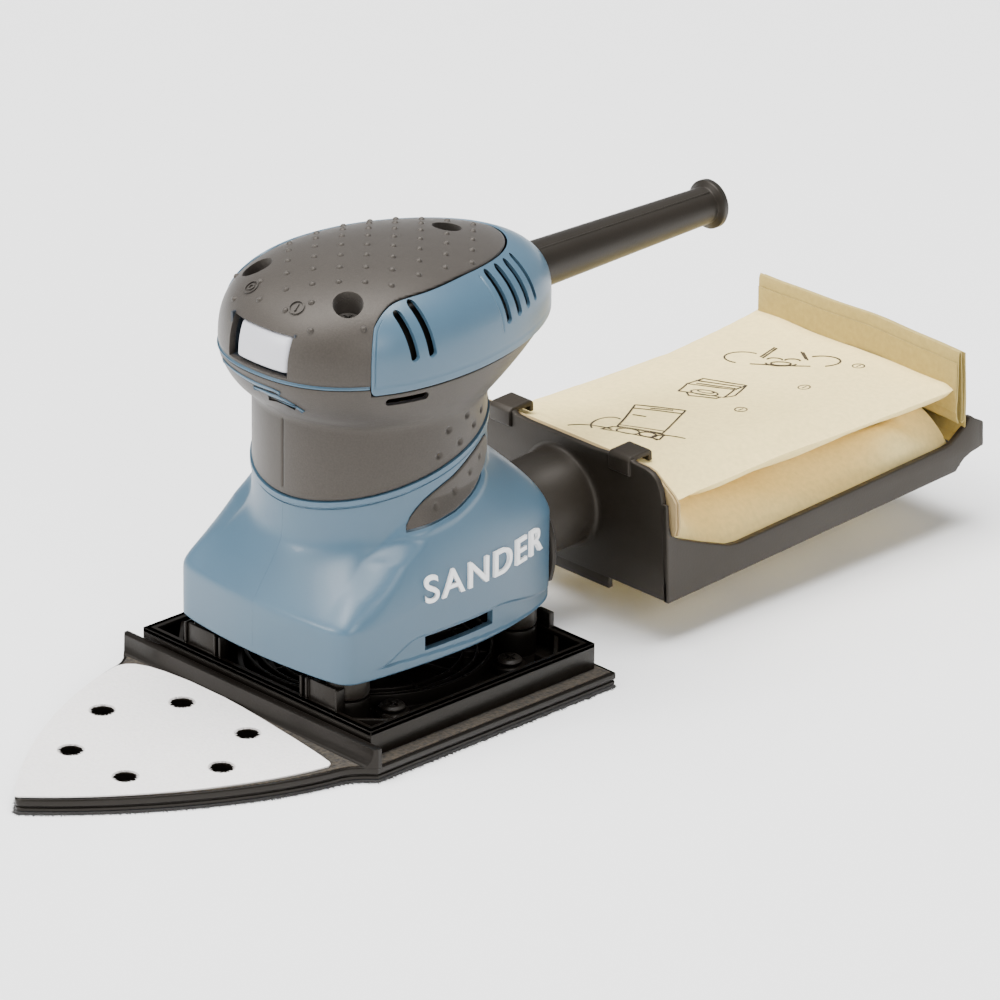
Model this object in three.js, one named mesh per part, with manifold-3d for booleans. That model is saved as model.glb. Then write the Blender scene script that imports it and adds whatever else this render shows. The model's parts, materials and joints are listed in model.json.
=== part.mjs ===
// A palm-grip detail sander with a delta nose pad, taken apart into its separate pieces.
// Millimetres, +Z up, -Y towards the nose, +X the tool's left side.
// The origin is the centre of the pad's sole under the eccentric pin.
import * as THREE from "three";
import { mergeVertices } from "three/addons/utils/BufferGeometryUtils.js";
import Module from "manifold-3d";

const wasm = await Module();
wasm.setup();

// ---------------------------------------------------------------- driving dimensions
const GAP = 0.3; // air between pieces that fit together
const WALL = 2.4; // moulded shell thickness

const PAD_HALF_WIDTH = 56;
const PAD_REAR_Y = 49.5;
const PAD_FRONT_Y = -48.5;
const PAD_TIP_Y = -139.6;
const HOOK_TOP = 0.8;
const PAD_TOP = 5;
const FLANGE_TOP = 10.9;
const SHEET_THICKNESS = 0.6;
const SHEET_HOLE_RADIUS = 3.65;

const PLATEN_HALF_X = 50.2;
const PLATEN_HALF_Y = 46;
const PLATEN_FLOOR = 7;
const PLATEN_RIM = 13.75;
const PLATEN_WALL = 1.8;

const ORBIT_OFFSET = 0.75; // eccentric throw, half the orbit diameter
const MOTOR_Y = -ORBIT_OFFSET;

const SKIRT_BOTTOM = 22.5;
const NECK_RADIUS = 35;
const NECK_FLARE_TOP = 71.3;
const COLLAR_FRONT_Z = 70.2;
const BOWL_BOTTOM = 97;
const PARTING_Z = 112.5;
const COVER_EDGE_Z = 110;
const HEAD_HALF_WIDTH = 38.6;
const HEAD_FRONT = 46.4;
const HEAD_REAR = 66;
const HEAD_RISE = 28.2;
const GUARD_Z = 115;
const GUARD_END_Y = 143.5;

const BOX_PITCH = 0.05; // the dust box tilts up by this many radians
const BOX_Y = 81.7;
const BOX_Z = 13.85;
const BOX_HALF_WIDTH = 45.5;
const BOX_LENGTH = 140;
const OUTLET_HEIGHT = 22.2; // tube axis above the box's lower edge
const TUBE_RADIUS = 15.5;

// ---------------------------------------------------------------- materials
function plastic(color, roughness, metalness = 0) {
  return new THREE.MeshStandardMaterial({ color, roughness, metalness });
}
const BLUE = plastic(0x7d94a5, 0.45);
const DARK_GRIP = plastic(0x544d47, 0.6);
const BLACK = plastic(0x1d1b19, 0.35);
const BOX_BROWN = plastic(0x4b423c, 0.5);
const RUBBER = plastic(0x161514, 0.85);
const LENS = plastic(0xcfcfd4, 0.3);
const PAPER = plastic(0xe9dcc0, 0.85);
const CARD = plastic(0xd9c9a4, 0.9);
const SHEET_WHITE = plastic(0xe8e4e0, 0.9);
const STEEL = plastic(0x9a9ca0, 0.35, 0.9);
const IRON = plastic(0x55575b, 0.5, 0.8);
const COPPER = plastic(0xb06a3b, 0.4, 0.8);
const BRASS = plastic(0xb08d4a, 0.4, 0.8);
const CARBON = plastic(0x2b2b2d, 0.7);
const ALUMINIUM = plastic(0xa9abad, 0.45, 0.8);

// ---------------------------------------------------------------- geometry helpers
const rad = THREE.MathUtils.degToRad;
const lerp = THREE.MathUtils.lerp;
const v3 = (x, y, z) => new THREE.Vector3(x, y, z);

function smooth(low, high, value) {
  return THREE.MathUtils.smoothstep(value, low, high);
}

// A closed geometry as a manifold solid, turned so that its faces point outwards.
function solid(geometry) {
  const bare = new THREE.BufferGeometry();
  bare.setAttribute("position", geometry.getAttribute("position").clone());
  if (geometry.index) bare.setIndex(geometry.index.clone());
  const merged = mergeVertices(bare, 1e-4);
  const vertProperties = new Float32Array(merged.attributes.position.array);
  const triVerts = new Uint32Array(merged.index.array);
  const make = () => new wasm.Manifold(new wasm.Mesh({ numProp: 3, vertProperties, triVerts }));
  let made = make();
  if (made.volume() < 0) {
    for (let i = 0; i < triVerts.length; i += 3) {
      [triVerts[i + 1], triVerts[i + 2]] = [triVerts[i + 2], triVerts[i + 1]];
    }
    made = make();
  }
  return made;
}

function geometryOf(made) {
  const mesh = made.getMesh();
  const geometry = new THREE.BufferGeometry();
  const positions = new Float32Array(mesh.numVert * 3);
  for (let i = 0; i < mesh.numVert; i += 1) {
    const start = i * mesh.numProp;
    positions.set(mesh.vertProperties.subarray(start, start + 3), i * 3);
  }
  geometry.setAttribute("position", new THREE.BufferAttribute(positions, 3));
  geometry.setIndex(new THREE.BufferAttribute(new Uint32Array(mesh.triVerts), 1));
  geometry.computeVertexNormals();
  return geometry;
}

const join = (first, ...others) => others.reduce((sum, next) => sum.add(next), first);
const cut = (first, ...others) => others.reduce((sum, next) => sum.subtract(next), first);

function box(x0, x1, y0, y1, z0, z1) {
  const geometry = new THREE.BoxGeometry(x1 - x0, y1 - y0, z1 - z0);
  geometry.translate((x0 + x1) / 2, (y0 + y1) / 2, (z0 + z1) / 2);
  return solid(geometry);
}

// A body of revolution round Z from [radius, z] points that close on themselves or on the axis.
function turned(profile, segments = 16) {
  const points = profile.map(([r, z]) => new THREE.Vector2(r, z));
  const geometry = new THREE.LatheGeometry(points, segments);
  geometry.rotateX(Math.PI / 2);
  return geometry;
}

function rod(radius, z0, z1, segments = 14) {
  return solid(turned([[0, z0], [radius, z0], [radius, z1], [0, z1]], segments));
}

function tube(inner, outer, z0, z1, segments = 16) {
  const profile = [[inner, z0], [outer, z0], [outer, z1], [inner, z1], [inner, z0]];
  return solid(turned(profile, segments));
}

function sectorRing(inner, outer, from, to, z0, z1, steps = 8) {
  const shape = new THREE.Shape();
  for (let i = 0; i <= steps; i += 1) {
    const a = lerp(from, to, i / steps);
    const at = [outer * Math.sin(a), -outer * Math.cos(a)];
    if (i === 0) shape.moveTo(...at);
    else shape.lineTo(...at);
  }
  for (let i = steps; i >= 0; i -= 1) {
    const a = lerp(from, to, i / steps);
    shape.lineTo(inner * Math.sin(a), -inner * Math.cos(a));
  }
  return extruded(shape, z0, z1);
}

function extruded(shape, z0, z1) {
  const geometry = new THREE.ExtrudeGeometry(shape, {
    depth: z1 - z0,
    bevelEnabled: false,
    curveSegments: 6,
  });
  geometry.translate(0, 0, z0);
  return solid(geometry);
}

// Moves a solid whose axis is Z so that the axis runs along X or along Y.
const alongX = (made) => made.rotate([0, 90, 0]);
const alongY = (made) => made.rotate([-90, 0, 0]);

// A closed skin over a stack of rings, each an array of points; the stack closes on itself
// or ends in two caps.
function loft(rings, closed) {
  const count = rings[0].length;
  const positions = rings.flat().flatMap((p) => [p.x, p.y, p.z]);
  const index = [];
  const last = closed ? rings.length : rings.length - 1;
  for (let j = 0; j < last; j += 1) {
    const a = j * count;
    const b = ((j + 1) % rings.length) * count;
    for (let i = 0; i < count; i += 1) {
      const k = (i + 1) % count;
      index.push(a + i, a + k, b + k, a + i, b + k, b + i);
    }
  }
  if (!closed) {
    [0, rings.length - 1].forEach((j) => {
      const centre = positions.length / 3;
      const mean = rings[j].reduce((sum, p) => sum.add(p), v3(0, 0, 0)).divideScalar(count);
      positions.push(mean.x, mean.y, mean.z);
      for (let i = 0; i < count; i += 1) {
        const pair = [j * count + i, j * count + ((i + 1) % count)];
        if (j === 0) pair.reverse();
        index.push(centre, ...pair);
      }
    });
  }
  const geometry = new THREE.BufferGeometry();
  geometry.setAttribute("position", new THREE.Float32BufferAttribute(positions, 3));
  geometry.setIndex(index);
  return solid(geometry);
}

// A closed plate between an outer and an inner grid of points with the same layout.
function plate(outer, inner) {
  const rings = outer.map((row, j) => [...row, ...inner[j].slice().reverse()]);
  return stack(rings);
}

// Rings joined in order, with strip caps that suit a ring folded out and back.
function stack(rings) {
  const count = rings[0].length;
  const half = count / 2;
  const positions = rings.flat().flatMap((p) => [p.x, p.y, p.z]);
  const index = [];
  for (let j = 0; j < rings.length - 1; j += 1) {
    for (let i = 0; i < count; i += 1) {
      const k = (i + 1) % count;
      const a = j * count;
      const b = a + count;
      index.push(a + i, a + k, b + k, a + i, b + k, b + i);
    }
  }
  [0, rings.length - 1].forEach((j) => {
    const at = j * count;
    for (let i = 0; i < half - 1; i += 1) {
      const quad = [at + i, at + i + 1, at + count - 2 - i, at + count - 1 - i];
      if (j === 0) quad.reverse();
      index.push(quad[0], quad[1], quad[2], quad[0], quad[2], quad[3]);
    }
  });
  const geometry = new THREE.BufferGeometry();
  geometry.setAttribute("position", new THREE.Float32BufferAttribute(positions, 3));
  geometry.setIndex(index);
  return solid(geometry);
}

const tool = new THREE.Group();
function part(name, made, material, group = tool) {
  const mesh = new THREE.Mesh(geometryOf(made), material);
  mesh.name = name;
  group.add(mesh);
  return mesh;
}

// ---------------------------------------------------------------- body surfaces
// Angles run round the tool from the nose (0) over the left side (90) to the rear (180).
const heading = (angle) => [Math.sin(angle), -Math.cos(angle)];
const foldedAngle = (angle) => Math.acos(THREE.MathUtils.clamp(Math.cos(angle), -1, 1));

// Distance from the Z axis, along an angle, to a large circle that contains the axis.
function reach(angle, cx, cy, radius) {
  const [dx, dy] = heading(angle);
  const along = dx * cx + dy * cy;
  return along + Math.sqrt(along * along + radius * radius - cx * cx - cy * cy);
}

// The skirt's plan: four bulging sides with tight corners.
function skirtRadius(angle) {
  const sharpness = 30;
  const halfWidth = 40.7;
  const sideBulge = Math.cos(angle) > 0 ? 255 : 115;
  const sideCentre = Math.sign(Math.sin(angle)) * (halfWidth - sideBulge);
  const reaches = [
    reach(angle, sideCentre, 0, sideBulge),
    reach(angle, 0, 143.1, 190),
    reach(angle, 0, -99.5, 150),
  ];
  const sum = reaches.reduce((total, r) => total + r ** -sharpness, 0);
  return sum ** (-1 / sharpness);
}

// The housing's outer radius: an upright skirt, a shoulder, then the neck.
function bodyRadius(angle, z) {
  const turn = foldedAngle(angle);
  const sideness = smooth(rad(42), rad(85), turn);
  const crease = 39 + 12 * smooth(rad(42), rad(110), turn);
  const flareTop = NECK_FLARE_TOP + 0.8 * (1 - Math.cos(turn));
  const up = THREE.MathUtils.clamp((z - crease) / (flareTop - crease), 0, 1);
  const scoop = (1 - up) ** (1.7 - 0.6 * smooth(rad(5), rad(38), turn));
  const shoulder = (1 - up) ** 1.25 * (1 + 0.75 * up);
  return NECK_RADIUS + (skirtRadius(angle) - NECK_RADIUS) * lerp(scoop, shoulder, sideness);
}

// The line where the blue housing stops and the dark neck grip begins.
function collarZ(angle) {
  return COLLAR_FRONT_Z + 11.4 * (1 - Math.cos(angle)) ** 0.92;
}

// The head's plan, an egg with its blunt end at the nose.
function headRadius(angle) {
  const front = Math.cos(angle) > 0;
  const power = front ? 2.3 : 1.86;
  const length = front ? HEAD_FRONT : HEAD_REAR;
  const side = Math.abs(Math.sin(angle) / HEAD_HALF_WIDTH) ** power;
  const end = Math.abs(Math.cos(angle) / length) ** power;
  return (side + end) ** (-1 / power);
}

// A point of the head's dome: rise 0 is the parting line and rise 1 the crown.
function domePoint(angle, rise, inset = 0) {
  const crownY = 12;
  const [dx, dy] = heading(angle);
  const radius = headRadius(angle) - inset;
  const spread = Math.cos((rise * Math.PI) / 2) ** (2 / 2.1);
  const lift = Math.sin((rise * Math.PI) / 2) ** (2 / 3);
  const y = dy * radius * spread + crownY * (1 - spread);
  return v3(dx * radius * spread, y, PARTING_Z + lift * (HEAD_RISE - inset - 0.07 * y));
}

// The bowl that carries the head, from the neck out to the parting line.
function bowlRadius(angle, z) {
  const depth = THREE.MathUtils.clamp((PARTING_Z - z) / (PARTING_Z - BOWL_BOTTOM), 0, 1);
  const spread = (1 - depth ** 1.5) ** (1 / 1.5);
  return lerp(NECK_RADIUS, headRadius(angle), spread);
}

// How far up the dome the blue cover reaches at each angle.
function coverRise(angle) {
  const turn = THREE.MathUtils.radToDeg(foldedAngle(angle));
  const corner = Math.sqrt(THREE.MathUtils.clamp((turn - 47.5) / 5, 0, 1));
  return 0.3 + 0.16 * corner + 0.09 * (smooth(50, 75, turn) - smooth(150, 180, turn));
}
const coverStart = rad(47.5);
const inFront = (angle) => foldedAngle(angle) < coverStart;

function ringPoint(angle, radius, z) {
  const [dx, dy] = heading(angle);
  return v3(dx * radius, dy * radius, z);
}

function mirroredAngles(half) {
  const back = half.slice(1, -1).reverse().map((a) => 360 - a);
  return [...half, ...back].map(rad);
}

// ---------------------------------------------------------------- housing halves
const MOTOR = {
  lowerBearingZ: 33,
  fanZ: 42.5,
  coreZ: 56,
  coreTop: 84,
  commutatorZ: 91,
  upperBearingZ: 103,
};
const SHAFT_RADIUS = 4;
const LOWER_BEARING_RADIUS = 11;
const UPPER_BEARING_RADIUS = 9.5;
const LEG_PLACES = [[29, -35.5], [-29, -35.5], [26.5, 35.5], [-26.5, 35.5]];
const LEG_RADIUS = 4.6;
const CLAMSHELL_SCREWS = [
  { y: -34.6, z: 48, wallY: -40.6 },
  { y: 35.6, z: 60, wallY: 44.3 },
];
const COVER_SCREWS = [
  { name: "cover_screw_front_left", x: 19.5, y: -27, top: 130.6 },
  { name: "cover_screw_front_right", x: -19.5, y: -27, top: 130.6 },
  { name: "cover_screw_rear", x: 0, y: 31, top: 133.2 },
];
const CLAMP = { y: 46.2, bottom: 118.3, top: 120.8, screwX: 6.4 };
const GRIP_THICKNESS = 2;
const BOWL_STEPS = [0, 0.15, 0.45, 1]; // heights of the bowl's rings, from neck to rim
const RIM_STEP = 46.6; // the bowl's rim drops here, just ahead of the blue cover
const ringAngles = mirroredAngles([
  0, 10, 20, 30, 39, RIM_STEP, 47.2, 55, 65, 75, 85, 96, 107, 118, 129, 140, 151, 163, 180,
]);
function bowlRim(angle) {
  const inFrontOfCover = foldedAngle(angle) <= rad(RIM_STEP + 0.1);
  return (inFrontOfCover ? PARTING_Z : COVER_EDGE_Z) - GAP;
}
// A ring of the bowl at a step from neck to rim, moved inwards and, near the neck, upwards.
function bowlRing(step, inset, rise) {
  return ringAngles.map((a) => {
    const z = lerp(BOWL_BOTTOM, bowlRim(a), step);
    return ringPoint(a, bowlRadius(a, z) - inset, z + rise * (1 - step));
  });
}

function shellRings(inset, underGrip, rise) {
  const inside = inset > 0;
  const above = inside ? [38.5, 46, 54, 64] : [38.5, 43, 48, 54, 60, 66];
  const skirtHeights = [SKIRT_BOTTOM, ...above];
  const raise = inside ? 1.4 : 0;
  const rings = skirtHeights.map((z) =>
    ringAngles.map((a) => ringPoint(a, bodyRadius(a, z + raise) - inset, z)),
  );
  const flareEnd = (a) => Math.min(NECK_FLARE_TOP + 1.2, collarZ(a) - 1);
  rings.push(ringAngles.map((a) => ringPoint(a, bodyRadius(a, flareEnd(a)) - inset, flareEnd(a))));
  rings.push(ringAngles.map((a) => ringPoint(a, bodyRadius(a, collarZ(a)) - inset, collarZ(a))));
  rings.push(ringAngles.map((a) => ringPoint(a, NECK_RADIUS - underGrip, collarZ(a) + 0.05)));
  BOWL_STEPS.forEach((step) => rings.push(bowlRing(step, underGrip, rise)));
  return rings;
}

function housingShell() {
  const outer = shellRings(0, underBowl, 1.95);
  const inner = shellRings(WALL, underBowl + WALL, 4).reverse();
  return loft([...outer, ...inner], true);
}

// The round boss at the rear that the dust outlet fits in.
const OUTLET_BOSS_Y = 53;
const OUTLET_BOSS_RADIUS = 24;
const OUTLET_BOSS_Z = 31;
function boss(radius, y0, y1) {
  return cut(
    alongY(rod(radius, y0, y1, 24)).translate([0, 0, OUTLET_BOSS_Z]),
    box(-60, 60, y0 - 1, y1 + 1, OUTLET_BOSS_Z - 60, SKIRT_BOTTOM),
  );
}

const onOutlet = (made) => {
  const tilt = THREE.MathUtils.radToDeg(BOX_PITCH);
  return alongY(made).rotate([tilt, 0, 0]).translate([0, BOX_Y, BOX_Z + OUTLET_HEIGHT]);
};

function bearingWeb(inner, outer, z0, z1, armTop) {
  const arms = box(-33.6, 33.6, -4, 4, armTop - 4, armTop);
  const across = box(-4, 4, -39.6, 44, armTop - 4, armTop);
  const ring = tube(inner, outer, z0, z1).translate([0, MOTOR_Y, 0]);
  const hole = rod(inner, z0 - 1, z1 + 3, 16).translate([0, MOTOR_Y, 0]);
  return cut(join(ring, arms, across), hole);
}

const SIDE_SLOT = { y0: -14.3, y1: 13.7, z0: 26.6, z1: 31.1 };

// The almond-shaped soft patch low on each rear side, between two distances from the housing's
// surface; a margin widens it into the pocket it sits in.
function sideGrip(side, inner, outer, margin) {
  const columns = 10;
  const grid = (proud) =>
    Array.from({ length: columns + 1 }, (_, i) => {
      const s = i / columns;
      const a = lerp(rad(64.5 - margin), rad(122 + margin), s);
      const low = 63.6 + 9.5 * s ** 1.5;
      const high = low + 1 + 11.5 * Math.sin(Math.min(1, s * 1.15) * 0.5 * Math.PI) ** 0.8;
      return [0, 0.5, 1].map((k) => {
        const z = lerp(low - margin, high + margin, k);
        return ringPoint(side * a, bodyRadius(a, z) + proud, z);
      });
    });
  return plate(grid(outer), grid(inner));
}

// The bowl's skin from the collar to the rim, moved inwards and, near the neck, upwards.
function bowlSkin(inset, rise) {
  const low = ringAngles.map((a) => ringPoint(a, NECK_RADIUS - inset, collarZ(a) + GAP));
  return [low, ...BOWL_STEPS.map((step) => bowlRing(step, inset, rise))];
}
const underBowl = GRIP_THICKNESS + GAP;
const guardBore = (radius, y0, y1) => alongY(rod(radius, y0, y1)).translate([0, 0, GUARD_Z]);

// What stands in the bowl: the upper bearing's web, the cover's posts and the clamp's block.
function bowlFittings() {
  let made = bearingWeb(UPPER_BEARING_RADIUS + 0.1, 13, 103, 109, 108);
  COVER_SCREWS.forEach(({ x, y, top }) => {
    const post = rod(4.2, 101.5, top - 4.2, 10).translate([x, y, 0]);
    made = join(made, y > 0 ? join(post, box(-2, 2, 31, 46, 101.5, 108)) : post);
    made = cut(made, rod(1.7, 107, top, 8).translate([x, y, 0]));
  });
  made = join(made, box(-9, 9, CLAMP.y - 4, CLAMP.y + 4, 103.7, 111.2));
  [-CLAMP.screwX, CLAMP.screwX].forEach((x) => {
    made = cut(made, rod(1.5, 105.5, 112, 8).translate([x, CLAMP.y, 0]));
  });
  const gripRoom = loft([...bowlSkin(underBowl + 0.1, 2.1), ...bowlSkin(-20, 0).reverse()], true);
  return cut(made, gripRoom);
}

function housing() {
  let shell = housingShell();
  shell = join(shell, boss(OUTLET_BOSS_RADIUS, 42, OUTLET_BOSS_Y));
  shell = cut(shell, boss(OUTLET_BOSS_RADIUS - WALL, 36, OUTLET_BOSS_Y - WALL));
  shell = cut(shell, onOutlet(rod(13, -50, -20, 20)));
  LEG_PLACES.forEach(([x, y]) => {
    const sleeve = tube(LEG_RADIUS + 2, LEG_RADIUS + 3.9, 29, 37, 12);
    shell = join(shell, sleeve.translate([x, y, 0]));
  });
  shell = join(shell, bowlFittings());
  CLAMSHELL_SCREWS.forEach(({ y, z, wallY }) => {
    const rib = box(-5, 5, Math.min(y, wallY), Math.max(y, wallY), z - 2, z + 2);
    const pillar = join(alongX(rod(3.6, -14, 14, 10)).translate([0, y, z]), rib);
    const socket = alongX(rod(3.5, -60, -9, 10)).translate([0, y, z]);
    const bore = alongX(rod(1.8, -10, 10, 8)).translate([0, y, z]);
    shell = cut(join(shell, pillar), socket, bore);
  });
  [-1, 1].forEach((side) => {
    const x0 = side > 0 ? 34 : -48;
    shell = cut(shell, box(x0, x0 + 14, SIDE_SLOT.y0, SIDE_SLOT.y1, SIDE_SLOT.z0, SIDE_SLOT.z1));
    shell = cut(shell, sideGrip(side, -1.1, 5, 0.4));
  });
  return cut(shell, guardBore(8, 50, 70), guardBore(9.2, 51.4, 54.4));
}

const SEAM = 0.05; // half the gap between the two halves
const leftOf = (made) => made.intersect(box(SEAM, 90, -160, 160, -5, 160));
const rightOf = (made) => made.intersect(box(-90, -SEAM, -160, 160, -5, 160));
const wholeHousing = housing();
part("housing_left", leftOf(wholeHousing), BLUE);
part("housing_right", rightOf(wholeHousing), BLUE);

// ---------------------------------------------------------------- grips and top cover
function neckGrip() {
  const grip = loft([...bowlSkin(GRIP_THICKNESS, 1.5), ...bowlSkin(0, 0).reverse()], true);
  return cut(grip, guardBore(8, 50, 70));
}
const wholeGrip = neckGrip();
part("neck_grip_left", leftOf(wholeGrip), DARK_GRIP);
part("neck_grip_right", rightOf(wholeGrip), DARK_GRIP);

part("side_grip_left", sideGrip(1, -0.8, 0.8, 0), DARK_GRIP);
part("side_grip_right", sideGrip(-1, -0.8, 0.8, 0), DARK_GRIP);

const headAngles = mirroredAngles([
  0, 12, 24, 36, 47, 47.6, 48.4, 52, 62, 76, 92, 108, 124, 138, 150, 160, 170, 180,
]);

function palmGrip() {
  const steps = [0, 0.16, 0.34, 0.6, 0.94];
  const start = (a) => (inFront(a) ? 0 : coverRise(a) + 0.012);
  const skin = (inset) =>
    steps.map((step) =>
      headAngles.map((a) => domePoint(a, lerp(start(a), 1, step === 0 ? 0 : step), inset)),
    );
  let made = loft([...skin(WALL).reverse(), ...skin(0)], false);
  COVER_SCREWS.forEach(({ x, y, top }) => {
    const well = rod(6.2, top - 4, top + 3.4, 12).translate([x, y, 0]);
    const recess = rod(4.6, top - 2.4, top + 20, 12).translate([x, y, 0]);
    const hole = rod(2.1, top - 6, top, 8).translate([x, y, 0]);
    made = cut(join(made, well), recess, hole);
  });
  return cut(made, box(-12.2, 12.2, -60, -36, 114.3, 126.3));
}
part("palm_grip", palmGrip(), DARK_GRIP);

const VENT_SLOTS = [
  { y: -16.8, z0: 119, z1: 133 },
  { y: -10.7, z0: 119, z1: 134 },
  { y: 22.9, z0: 119.8, z1: 133 },
  { y: 28.9, z0: 120, z1: 132.6 },
  { y: 34.5, z0: 120.4, z1: 132.2 },
  { y: 39.5, z0: 120.6, z1: 131.8 },
];
const VENT_WIDTH = 2;

function handleCover() {
  const edge = 0.4;
  const angles = headAngles.filter((a) => foldedAngle(a) > coverStart + rad(0.5));
  const steps = [0, 0.35, 0.7, 1];
  const skin = (inset) =>
    angles.map((a) => {
      const foot = domePoint(a, 0, inset);
      const wall = steps.map((step) => domePoint(a, step * (coverRise(a) - 0.012), inset));
      return [v3(foot.x, foot.y, COVER_EDGE_Z), ...wall];
    });
  let made = plate(skin(-edge), skin(WALL));
  VENT_SLOTS.forEach(({ y, z0, z1 }) => {
    const half = VENT_WIDTH / 2;
    made = cut(made, box(20, 50, y - half, y + half, z0, z1));
    made = cut(made, box(-50, -20, y - half, y + half, z0, z1));
  });
  return cut(made, guardBore(8, 50, 72));
}
part("handle_cover", handleCover(), BLUE);

COVER_SCREWS.forEach(({ name, x, y, top }) => {
  const head = rod(3.8, top - 2.3, top, 12);
  const shank = rod(1.5, 109, top - 2, 8);
  const slot = box(-2.2, 2.2, -0.5, 0.5, top - 1, top + 1);
  const cross = join(slot, slot.rotate([0, 0, 90]));
  part(name, cut(join(head, shank), cross).translate([x, y, 0]), STEEL);
});
CLAMSHELL_SCREWS.forEach(({ y, z }, i) => {
  const screw = join(rod(3.1, -12.4, -10.2, 10), rod(1.5, -10.3, 9.5, 8));
  part(`housing_screw_${i + 1}`, alongX(screw).translate([0, y, z]), STEEL);
});

// ---------------------------------------------------------------- cord guard, clamp and switch
// Turned about the cord axis: a captive flange inside the head, then a long taper.
const GUARD_ROOT_Y = 52;
const guardProfile = [
  [3.5, GUARD_ROOT_Y], [8.7, GUARD_ROOT_Y], [8.7, 54], [7.5, 54], [7.5, 70], [5.8, 139],
  [5.8, 141.2], [7.75, 141.9], [7.75, GUARD_END_Y], [3.5, GUARD_END_Y], [3.5, GUARD_ROOT_Y],
];
part("cord_guard", alongY(solid(turned(guardProfile, 16))).translate([0, 0, GUARD_Z]), RUBBER);

const clampHoles = [-CLAMP.screwX, CLAMP.screwX].map((x) =>
  rod(1.8, CLAMP.bottom - 1, CLAMP.top + 1, 8).translate([x, CLAMP.y, 0]),
);
const clampBar = box(-9.5, 9.5, CLAMP.y - 4, CLAMP.y + 4, CLAMP.bottom, CLAMP.top);
part("cord_clamp", cut(clampBar, ...clampHoles), BLACK);
[["left", CLAMP.screwX], ["right", -CLAMP.screwX]].forEach(([side, x]) => {
  const head = rod(3, CLAMP.top + 0.1, CLAMP.top + 2, 10);
  const shank = rod(1.3, 105.9, CLAMP.top + 0.2, 8);
  part(`cord_clamp_screw_${side}`, join(head, shank).translate([x, CLAMP.y, 0]), STEEL);
});

const SWITCH = { travel: 3.3, z0: 114.6, z1: 126, x0: -8.7, x1: 11.8, faceY: -44.6 };
const lensBlock = box(SWITCH.x0, SWITCH.x1, SWITCH.faceY, -42.2, SWITCH.z0, SWITCH.z1);
const lensStem = box(-1.5, 4.5, -42.3, -39.6, 118, 122.5);
part("switch_slider", join(lensBlock, lensStem), LENS);
const switchGuide = box(-7, 9, -41.3, -37, 117.5, 123);
part("switch_body", cut(box(-10.5, 10.5, -39.3, -26, 113.2, 125), switchGuide), BLACK);
part("noise_capacitor", alongY(rod(5.5, 20, 38, 18)).translate([16.5, 0, 117.5]), COPPER);

// ---------------------------------------------------------------- motor
const motorAxis = new THREE.Group();
motorAxis.position.set(0, MOTOR_Y, 0);
tool.add(motorAxis);

const STATOR = { outer: 27, back: 22.5, pole: 15.8 };
const poleArc = rad(52);
function stator() {
  const yoke = tube(STATOR.back, STATOR.outer, MOTOR.coreZ, MOTOR.coreTop, 24);
  const poles = [0, Math.PI].map((at) => {
    const ends = [at - poleArc, at + poleArc];
    return sectorRing(STATOR.pole, STATOR.back + 1, ...ends, MOTOR.coreZ, MOTOR.coreTop, 6);
  });
  return join(yoke, ...poles);
}
part("stator_core", stator(), IRON, motorAxis);

// Each field coil runs up one slot, over the pole, down the other slot and back.
function fieldCoil(at) {
  const legArc = [rad(56), rad(76)];
  const [low, high] = [MOTOR.coreZ - 4.6, MOTOR.coreTop + 4.6];
  const legs = [-1, 1].map((side) => {
    const ends = [at + side * legArc[0], at + side * legArc[1]].sort((a, b) => a - b);
    return sectorRing(16.6, 21.6, ends[0], ends[1], low, high, 2);
  });
  const turns = [[low, MOTOR.coreZ - 0.4], [MOTOR.coreTop + 0.4, high]].map(([z0, z1]) =>
    sectorRing(16.6, 21.6, at - legArc[1], at + legArc[1], z0, z1, 8),
  );
  return join(...legs, ...turns);
}
part("field_coil_front", fieldCoil(0), COPPER, motorAxis);
part("field_coil_rear", fieldCoil(Math.PI), COPPER, motorAxis);

part("motor_shaft", rod(SHAFT_RADIUS, 24.5, 111, 16), STEEL, motorAxis);
const onShaft = SHAFT_RADIUS + 0.15;
const ARMATURE_SLOTS = 10;
function armature() {
  const core = tube(onShaft, 15.2, MOTOR.coreZ, MOTOR.coreTop, 20);
  const grooves = Array.from({ length: ARMATURE_SLOTS }, (_, i) => {
    const groove = box(-0.9, 0.9, 12.4, 16, MOTOR.coreZ - 1, MOTOR.coreTop + 1);
    return groove.rotate([0, 0, (i * 360) / ARMATURE_SLOTS]);
  });
  return cut(core, ...grooves);
}
part("armature_core", armature(), IRON, motorAxis);
// One winding: a copper head at each end of the core, joined by bars that lie in its slots.
function windingHead(root, tip) {
  const waist = (root * 2 + tip) / 3;
  const profile = [[5.4, root], [14.4, root], [14.4, waist], [11.5, tip], [5.4, tip], [5.4, root]];
  return solid(turned(profile, 20));
}
function armatureWinding() {
  const [low, high] = [MOTOR.coreZ - 0.3, MOTOR.coreTop + 0.3];
  const bars = Array.from({ length: ARMATURE_SLOTS }, (_, i) =>
    box(-0.6, 0.6, 12.8, 14.2, low - 1, high + 1).rotate([0, 0, (i * 360) / ARMATURE_SLOTS]),
  );
  return join(windingHead(low, low - 4), windingHead(high, high + 5.5), ...bars);
}
part("armature_winding", armatureWinding(), COPPER, motorAxis);
const COMMUTATOR_RADIUS = 10;
function commutator() {
  const cuts = 8;
  const body = tube(onShaft, COMMUTATOR_RADIUS, MOTOR.commutatorZ, MOTOR.commutatorZ + 10, 16);
  const saw = box(-0.25, 0.25, 8.8, 11, MOTOR.commutatorZ - 1, MOTOR.commutatorZ + 8);
  const saws = Array.from({ length: cuts }, (_, i) => saw.rotate([0, 0, (i * 360) / cuts]));
  return cut(body, ...saws);
}
part("commutator", commutator(), COPPER, motorAxis);

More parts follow.
